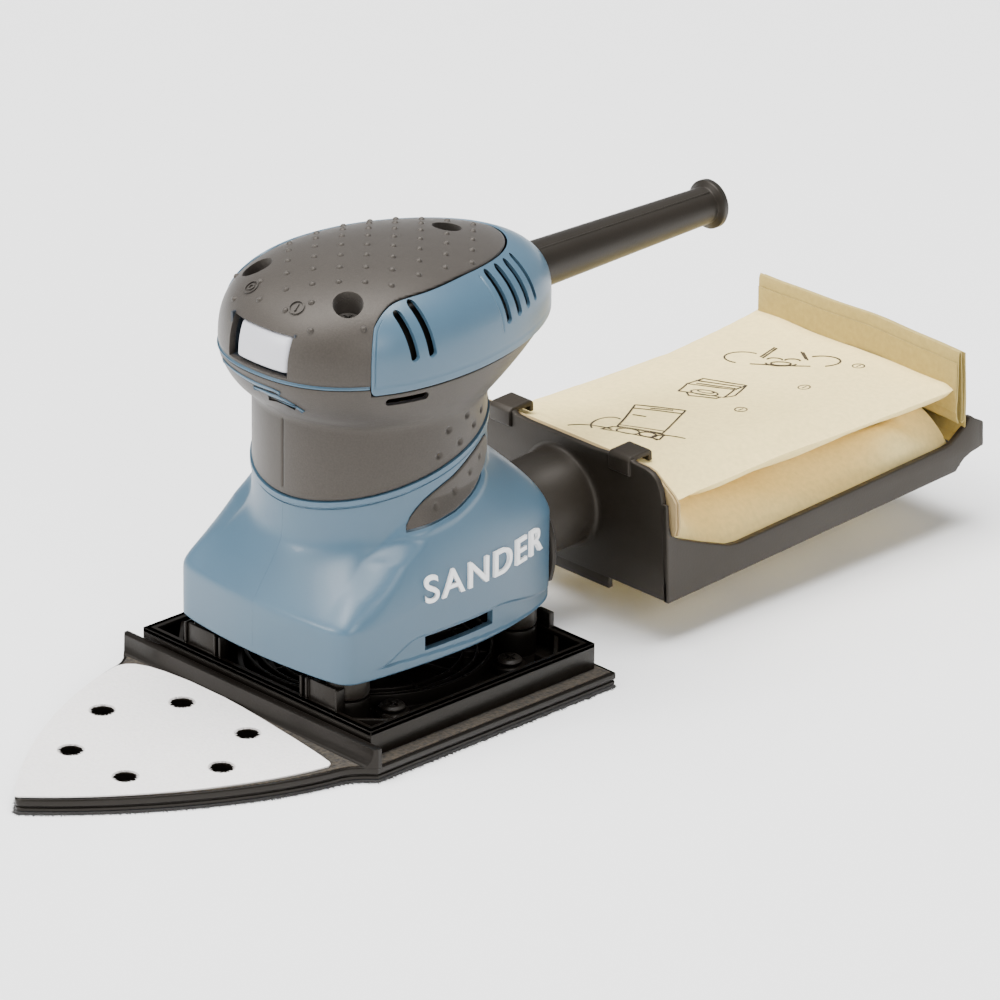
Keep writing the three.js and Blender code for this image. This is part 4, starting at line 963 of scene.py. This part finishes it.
slab_mesh = mesh_object("slab", layered(outline, [
    (0.9, 0.85), (0.35, 1.2), (0.3, 2.0), (0.75, 2.35), (0.25, 2.75), (0.05, 3.3), (0.05, 4.6),
    (0.4, 5.0), (0.9, 5.0), (1.3, 4.75)]))
face_out(slab_mesh)
for pit in pits:
    carve(slab_mesh, pit)
piece("pad_body", merged(taken(slab_mesh), flange), "black_plastic", "pad", ["sanding_pad"])

ledge = layered(inset(outline, 1.2).tolist(), [(0.3, 4.6), (0, 4.95), (0.2, 5.1)])
piece("pad_felt", ledge, "black_plastic", "pad", cuts=pits, finish=FELT)

random = np.random.default_rng(7)
pile = layered(outline, [(0.9, 0.02), (0.1, 0.1), (0.0, 0.7), (0.5, 0.9)])


def spike(base, tip):
    """A closed point that stands on a ring of base points."""
    count = len(base)
    sides = [[i, (i + 1) % count, count] for i in range(count)]
    return np.array([*base, tip]), [*sides, list(range(count))[::-1]]


edge_points = np.array(outline)
tufts = []
for a, b in zip(edge_points, np.roll(edge_points, -1, 0)):
    length = np.linalg.norm(b - a)
    way = (b - a) / max(length, 1e-6)
    outward = np.array([way[1], -way[0]])
    count = max(1, int(length / 0.42))
    for k in range(count):
        at = a + way * (length * (k + random.random()) / count)
        tall = 0.4 + 1.1 * random.random() ** 2
        lean = random.normal(0, 0.25)
        thick = 0.12 + 0.10 * random.random()
        base = [(*(at - outward * 0.1 + way * s * thick), z)
                for s, z in ((-1, 0.15), (-1, 0.62), (1, 0.62), (1, 0.15))]
        tip = at + outward * tall * 0.8 + way * lean
        tufts.append(spike(base, (*tip, max(0.02, 0.45 - 0.4 * tall))))
piece("pad_pile", merged(pile, *tufts), "hook_pile", "pad", ["hook_layer"])

sheet_rear = [(46.7, -57.6), (46.3, -56.9), (45.2, -56.2), (41, -55.3), (36, -54.4), (26, -52.9),
              (11, -50.9), (0, -49.7), (-8, -49.1), (-24, -49.0), (-34, -49.9), (-40, -51.1),
              (-44.2, -53.0), (-46.2, -55.2), (-46.9, -57.6)]
sheet_side = bezier((47, -58.4), (42.2, -85), (22.8, -117), (0.9, -138.1), 40)
sheet_line = sheet_rear + [(-x, y) for x, y in [(47, -58.4)] + sheet_side] + [(0, -138.4)]
sheet_line += sheet_side[::-1] + [(47, -58.4)]
sheet_points = [[x + SHEET_X, y + SHEET_Y] for x, y in sheet_line]
sheet = layered(sheet_points, [(0.12, 5.1), (0, 5.25), (0, 5.62), (0.12, 5.74)])
piece("disc_sheet", sheet, "abrasive_sheet", "pad", ["delta_sheet"], cuts=pits)
fuzz = []
for x, y in HOLES:
    for k in range(46):
        t = 2 * math.pi * (k + random.random()) / 46
        deep = 0.3 + 0.9 * random.random()
        rim_at = np.array([x + 4.1 * math.cos(t), y + 4.1 * math.sin(t)])
        inward = np.array([-math.cos(t), -math.sin(t)])
        across = np.array([inward[1], -inward[0]]) * 0.17
        tip = rim_at + inward * deep + across * random.normal(0, 2)
        base = (*(rim_at - across), 5.2), (*(rim_at + across), 5.2), (*rim_at, 5.75)
        fuzz.append(spike(base, (*tip, 5.55 + 0.2 * random.random())))
piece("sheet_fuzz", merged(*fuzz), "abrasive_sheet", "pad")


# ---------------------------------------------------------------- dust box
def pitched(shape):
    return moved(shape, (0, 81.7, 13.85), Matrix.Rotation(0.05, 4, "X"))


def on_side(points, x0, x1):
    """A plate in Y and Z, given as points, from x0 to x1."""
    verts, faces = prism(points, x0, x1)
    return verts[:, [2, 0, 1]], faces


def on_front(points, y0, y1):
    """A plate in X and Z from y0 to y1."""
    verts, faces = prism(points, y0, y1)
    return verts[:, [0, 2, 1]], faces


right_edge = [(45.4, 0.3), (45.1, 6), (44.6, 13.4), (44.1, 23.6), (43.8, 28.6), (43.6, 33.7),
              (42.9, 37.2), (41.6, 39.9), (39.3, 41.8), (36.6, 42.6)]
claw_edge = [(31.4, 42.9), (30.3, 43.5), (21.3, 43.5), (20.2, 42.6)]
top_edge = right_edge + claw_edge + [(x, 42.2) for x in (14, 7)]
front_outline = top_edge + [(0, 42.2)] + [(-x, z) for x, z in top_edge][::-1]
side_outline = [(0, 0), (127.5, 0), (129, 1.6), (131.2, 3.2), (134.5, 4.3), (138, 4.7), (140, 5.4),
                (140, 13.2), (136.6, 15.2), (134.4, 17.0), (133.4, 16.6), (132.4, 14.4),
                (129, 12.4), (125.5, 10.3), (122, 9.9), (31, 9.8), (26.4, 10.6), (16.4, 14.9),
                (5.4, 20.1), (2.2, 22.4), (1.4, 26), (1.2, 33), (0, 33)]
frame_shapes = [
    on_front(front_outline, 0, 2.1),
    on_side(side_outline, -45.5, -43.3),
    on_side(side_outline, 43.3, 45.5),
    box(-45.4, 45.4, 137.9, 140, 4.8, 13.2),
    box(-20, 19.7, 0.1, 2.0, -3.5, 1),
    box(-43.6, -37.5, 6, 130, 0, 1.5),
    box(37.5, 43.6, 6, 130, 0, 1.5),
    box(-43.6, 43.6, 128, 138, 4.2, 5.8),
]
for x in (-20, 0, 20):
    frame_shapes.append(box(x - 2.5, x + 2.5, 1, 131, 0, 1.5))
for y in (45, 90, 129):
    frame_shapes.append(box(-43.6, 43.6, y - 2.5, y + 2.5, 0, 1.5))
for x0 in (-30.3, 21.3):
    frame_shapes.append(on_side([(-0.9, 38.5), (0.4, 37.6), (2.0, 39), (2.0, 42.4), (7.9, 42.4),
                                 (7.9, 40.4), (9.5, 40.2), (9.5, 43.2), (8.4, 44.3), (0.4, 44.3),
                                 (-0.9, 43.2)], x0, x0 + 9))
box_body = bevelled("box_body", pitched(merged(*frame_shapes)), 0.45, 3, 28)
piece("box_body", box_body, "box_plastic", "dust_box", ["bag_frame"])
neck_profile = [(12.85, -20.7), (15.2, -20.7), (15.5, -20.4), (15.6, -3.4)]
for t in np.linspace(0.08, 1, 8):
    neck_profile.append((15.6 + 1.6 * (1 - math.cos(t * math.pi / 2)),
                         -1.7 + 1.7 * math.sin(t * math.pi / 2)))
neck_profile += [(17.2, 1), (12.85, 1)]
socket = pitched(along_y(revolve(neck_profile[::-1], 96), SOCKET_HEIGHT))
piece("box_socket", socket, "box_plastic", "dust_box", sharp=50)

# ---------------------------------------------------------------- bag, with its card and folds
def card_outline(extra):
    half = [(41, 2.2), (41, 20), (46.2 + extra, 22.3), (47.0 + extra, 25), (47.0 + extra, 33.2),
            (45.4 + extra, 35.2), (38, 40.9), (35, 41.7)]
    return [(-x, z) for x, z in half] + half[::-1]


cards = merged(*(on_front(card_outline(e), y, y + 0.62) for e, y in ((0, 2.5), (0.5, 3.3))))
piece("bag_card", pitched(cards), "card", "bag", ["bag_fixing_card"],
      cuts=[pitched(along_y(rod(12.4, 1, 8, 48), SOCKET_HEIGHT))])

BAG_FRONT, BAG_REAR = 4.3, 127.6
TOP_POINTS, FOLD_POINTS, FLOOR_POINTS = 72, 14, 24


def edge_height(x, y):
    """Height of the top sheet's long edges, higher on the left side near the front."""
    near = np.interp(y, [0, 9, 14.5, 49.5, 85, 125, 130], [32.6, 32.8, 33.4, 32.3, 30.4, 28.1, 28])
    far = np.interp(y, [0, 14, 29, 62, 88, 111, 133], [32.4, 31.6, 29.8, 27.8, 26.0, 26.8, 28.1])
    return near + (far - near) * smooth(38, -38, x)


def top_height(x, y):
    """The top sheet: a low ridge that starts at the card's top and flattens to the rear."""
    s = np.clip((y - BAG_FRONT) / (BAG_REAR - BAG_FRONT), 0, 1)
    crown = 1.3 + 6.9 * (1 - s) ** 1.7
    plateau = 1 - smooth(26 + 14 * s, 46, np.abs(x))
    waves = 0.35 * np.sin(x * 0.11 + y * 0.05) + 0.28 * np.sin(y * 0.13 - x * 0.04 + 1.3)
    waves += 0.5 * hump(y - 62 - 0.25 * x, 5.0) * np.cos(x * 0.05)
    calm = smooth(0, 14, y) * smooth(46, 30, np.abs(x))
    return edge_height(x, y) + crown * plateau + waves * calm


def bag_section(y):
    """A ring of the bag: right gusset up, top sheet across, left gusset down, floor back."""
    s = (y - BAG_FRONT) / (BAG_REAR - BAG_FRONT)
    depth = 21.0 * smooth(-0.02, 0.16, s) * (1 - 0.35 * smooth(0.72, 0.95, s))
    depth = depth + 1.0 * math.sin(y * 0.16)
    sides = {}
    for sign in (1, -1):
        rim = 45.0 if sign > 0 else 42.6
        rim = rim - 0.9 * smooth(0.1, 0.0, s) + 0.35 * math.sin(y * 0.09)
        high = float(edge_height(sign * rim, y))
        sunk = 3.6 + 10.0 * smooth(0.0, 0.2, s) * (1 - 0.35 * smooth(0.7, 0.95, s))
        fold_z = high - sunk + 0.9 * math.sin(y * 0.07 + 1)
        low = 1.9
        tongue = 4.0 * hump(y - 106, 8.0) * (sign > 0)
        points = []
        for k in range(FOLD_POINTS):
            t = k / (FOLD_POINTS - 1)
            puff = math.sin(t * math.pi) * (0.5 + tongue + 0.9 * math.sin(y * 0.13 + t * 2))
            x = 42.4 + (rim - depth - 42.4) * t ** 1.5
            points.append((sign * min(x, 42.9), low + (fold_z - low) * t ** 0.55 + puff))
        for k in range(1, FOLD_POINTS):
            t = k / (FOLD_POINTS - 1)
            x = rim - depth + depth * t
            points.append((sign * x, fold_z + (high - fold_z) * (0.75 * t + 0.25 * t ** 3)))
        sides[sign] = points
    across = np.linspace(sides[1][-1][0], sides[-1][-1][0], TOP_POINTS + 2)[1:-1]
    ring = sides[1] + [(x, float(top_height(x, y))) for x in across] + sides[-1][::-1]
    ring += [(x, 1.7 + 0.3 * math.sin(x * 0.2 + y * 0.1))
             for x in np.linspace(-38, 38, FLOOR_POINTS)]
    return [(x, y, z) for x, z in ring]


stations = spaced(BAG_FRONT, (16, 30), (110, 110), (BAG_REAR, 30))
rings = np.array([bag_section(y) for y in stations])
rough = random.normal(0, 0.05, rings.shape[:2])
for _ in range(6):
    rough = (rough + np.roll(rough, 1, 0) + np.roll(rough, -1, 0) + np.roll(rough, 1, 1)
             + np.roll(rough, -1, 1)) / 5 * 1.12
rings[..., 2] += rough * 2.2
count = rings.shape[1]
bag_faces = grid_faces(len(stations), count, wrap=True)
bag_faces += capped(len(stations), count)
piece("dust_bag", pitched((rings.reshape(-1, 3), bag_faces)), "bag_paper", "bag", ["paper_bag"],
      cuts=[pitched(along_y(rod(11.4, 0, 12, 48), SOCKET_HEIGHT))], sharp=38)


def folded_strip(path, x0, x1, thick):
    """A paper strip: a path in Y and Z swept along X, with a slight bow and uneven ends."""
    y, z = np.array(path, float).T
    x = np.linspace(x0, x1, 60)[:, None]
    y = y + 0.9 * np.sin((x - x0) / (x1 - x0) * math.pi) + 0.2 * np.sin(x * 0.21)
    z = z + 0.35 * np.sin(x * 0.09 + 0.6)
    return shell(np.stack([x + 0 * y, y, z], -1), thick)


roll = [
    folded_strip([(126.9, 21), (127.6, 26), (128.0, 33), (128.3, 40.2), (128.6, 41.1),
                  (129.0, 41.2)], -40.6, 46.1, 0.35),
    folded_strip([(128.9, 41.2), (129.4, 40.6), (129.7, 33), (129.8, 24), (129.7, 17.6),
                  (129.3, 16.8)], -41.0, 45.7, 0.35),
    folded_strip([(129.4, 16.8), (130.5, 17.4), (131.0, 26), (131.2, 34), (131.1, 40.4)],
                 -40.8, 46.2, 0.35),
    folded_strip([(128.2, 17.2), (127.5, 19), (127.3, 28), (127.7, 37.6)], -40.4, 45.9, 0.3),
    folded_strip([(131.2, 39.6), (131.9, 33), (132.0, 24), (131.6, 14.4), (130.2, 11.5),
                  (127.0, 10.4)], -40.2, 45.2, 0.35),
]
# the roll takes the darker paper, which paints the shade on its upright faces
piece("bag_roll", pitched(merged(*roll)), "bag_paper", "bag", finish=PAPER_PAINTED_SHADE)


INK_LIFT = 0.13


def stroke(points, width=0.62):
    """An ink line drawn on the top sheet."""
    p = np.array(points, float)
    fine = []
    for a, b in zip(p[:-1], p[1:]):
        n = max(2, int(np.linalg.norm(b - a) / 0.8))
        fine += [a + (b - a) * k / n for k in range(n)]
    fine = np.array(fine + [p[-1]])
    way = np.gradient(fine, axis=0)
    way /= np.maximum(np.linalg.norm(way, axis=1, keepdims=True), 1e-9)
    side = np.stack([-way[:, 1], way[:, 0]], 1) * width / 2
    rows = [fine - side, fine + side]
    x, y = np.moveaxis(np.array(rows), -1, 0)
    return shell(np.stack([x, y, top_height(x, y) + INK_LIFT], -1), 0.1)


def arc(x, y, rx, ry, start, stop, steps=18):
    turn = np.radians(np.linspace(start, stop, steps))
    return [(x + rx * math.cos(t), y + ry * math.sin(t)) for t in turn]


def drawn(lines, x, y, angle, scale):
    """Lines of one little drawing, turned and set down on the sheet."""
    c, s = math.cos(math.radians(angle)) * scale, math.sin(math.radians(angle)) * scale
    return [stroke([(x + c * u - s * v, y + s * u + c * v) for u, v in line]) for line in lines]


bag_in_frame = [[(-8, -11), (8, -11), (9, 14), (-9, 14), (-8, -11)], [(-9, 10.5), (9, 10.5)],
                [(-3, 12), (5, 12.6)], [(-8, -9), (8, -8.5)], [(-7, 4), (-2, 3.4)],
                [(-9, -12), (-12, -17), (9, -18), (9, -12), (-9, -12)],
                arc(-12, -10, 5, 9, 60, 230), arc(-3, -15, 4, 3, 0, 360),
                arc(4, -15, 3, 2.5, 0, 360),
                arc(13, -16, 7, 4, 60, 230), arc(-16, -17, 8, 3, 20, 170)]
lifted_bag = [[(-9, -9), (8, -9), (9, 3), (-9, 3), (-9, -9)], [(-9, 3), (-5, 11), (12, 9), (9, 3)],
              [(12, 9), (11, -4), (8, -9)], [(-6, 5), (9, 4.4)], [(-7, 8), (10.5, 7)],
              arc(0, -6, 5, 4, 0, 360), arc(0, -4, 3, 2, 0, 360), [(-6, -9), (-4, -13), (6, -12),
                                                                   (7, -9)]]
two_hands = [arc(-15, -1, 8, 6, 60, 250), arc(15, -1, 8, 6, -70, 120), [(-9, 1), (-5, 12)],
             [(-8, 0), (-4, 11.4)], [(9, 1), (6, 9)], [(10, 0), (7, 8.4)],
             arc(0, -5, 6, 2.5, 180, 360), arc(0, -5, 4, 2, 0, 360), [(-12, -7), (12, -7)],
             arc(-3, -1, 3, 2, 0, 180), arc(4, -1, 3, 2, 0, 180)]
drawing = drawn(bag_in_frame, 5, 33, 29, 0.9) + drawn(lifted_bag, -6, 70, 30, 0.85)
drawing += drawn(two_hands, -9, 106, 36, 0.8)
for x, y in ((16, 62), (14, 92), (13.4, 117)):
    drawing += [stroke(line, 0.45) for line in (arc(x, y, 1.9, 1.9, 0, 360, 20),
                                                [(x, y - 1), (x, y + 1)])]
piece("bag_drawing", pitched(merged(*drawing)), "bag_paper", "bag", finish=INK)

# ---------------------------------------------------------------- badge on both sides
def badge_letters(word, height, depth):
    """A plain word as a solid, its baseline along X."""
    curve = bpy.data.curves.new("word", "FONT")
    curve.body = word
    curve.size = height
    curve.extrude = depth / 2
    curve.offset = height * 0.012
    curve.space_character = 1.16
    curve.bevel_depth = 0.0
    curve.align_x = "CENTER"
    made = bpy.data.objects.new("word", curve)
    bpy.context.scene.collection.objects.link(made)
    bpy.context.view_layer.update()
    mesh = solved(made)
    bpy.data.objects.remove(made)
    verts = np.array([v.co for v in mesh.vertices])
    return verts, [list(p.vertices) for p in mesh.polygons]


def on_skirt(u, v, out):
    """A point on the left side: u along Y, v up, out from the surface."""
    low, high = np.full_like(u, 0.5), np.full_like(u, 2.7)
    for _ in range(30):
        a = (low + high) / 2
        short = -np.cos(a) * body_radius(a, v) < u
        low, high = np.where(short, a, low), np.where(short, high, a)
    return polar(a, body_radius(a, v) + out, v)


letters_v, letters_f = badge_letters("SANDER", 11.6, 1.0)
for side, sign in (("left", 1), ("right", -1)):
    verts = on_skirt(sign * letters_v[:, 0] * 1.1 + 11.0, letters_v[:, 1] + 42.4,
                     0.35 + letters_v[:, 2])
    piece(f"badge_{side}", (verts * np.array([sign, 1, 1]), letters_f), "blue_shell", "housing",
          finish=WHITE_PAINT)


# ---------------------------------------------------------------- camera, light and floor
def camera_axes(azimuth, elevation, roll):
    a, e, r = (math.radians(v) for v in (azimuth, elevation, roll))
    back = Vector((math.sin(a) * math.cos(e), -math.cos(a) * math.cos(e), math.sin(e)))
    right = (-back).cross(Vector((0, 0, 1))).normalized()
    up = right.cross(-back)
    return (math.cos(r) * right + math.sin(r) * up, -math.sin(r) * right + math.cos(r) * up, back)


right, up, back = camera_axes(45.86, 23.75, 0.65)
camera = bpy.data.objects.new("camera", bpy.data.cameras.new("camera"))
camera.data.lens = 288
camera.data.sensor_width = 36
camera.data.clip_start = 0.1
camera.data.clip_end = 50
eye = right * 0.0396 + up * 0.0531 + back * 2.408
axes = Matrix((right, up, back)).transposed().to_4x4()
camera.matrix_world = Matrix.Translation(eye) @ axes
bpy.context.scene.collection.objects.link(camera)
bpy.context.scene.camera = camera


def lamp(name, at, aim, size, power):
    data = bpy.data.lights.new(name, "AREA")
    data.shape = "DISK"
    data.size = size
    data.energy = power
    made = bpy.data.objects.new(name, data)
    made.location = at
    made.rotation_euler = (Vector(at) - Vector(aim)).to_track_quat("Z", "Y").to_euler()
    bpy.context.scene.collection.objects.link(made)


lamp("key", (-0.55, -1.35, 2.2), (0, 0, 0.06), 0.9, 22)
lamp("side", (1.9, -0.7, 1.1), (0, 0, 0.06), 1.0, 20)
lamp("strip", (-0.85, -1.9, 0.75), (0, 0, 0.06), 0.4, 17)
lamp("top", (0.2, 0.4, 2.3), (0, 0.05, 0.05), 1.2, 62)
sky = bpy.data.lights.new("sky", "SUN")
sky.energy = 4.4
sky.angle = math.radians(50)
overhead = bpy.data.objects.new("sky", sky)
overhead.rotation_euler = (math.radians(18), math.radians(-14), 0)
bpy.context.scene.collection.objects.link(overhead)

world = bpy.data.worlds.new("studio")
world.use_nodes = True
world.node_tree.nodes["Background"].inputs["Color"].default_value = (1, 1, 1, 1)
world.node_tree.nodes["Background"].inputs["Strength"].default_value = 0.34
bpy.context.scene.world = world

floor = mesh_object("floor", box(-6000, 6000, -6000, 6000, -20, 0))
floor_finish = material("floor_paper", (0.95, 0.95, 0.95), 0.9, grain=60, bump=0.02, spread=0.004,
                        edge=0)
floor.data.materials.append(floor_finish)
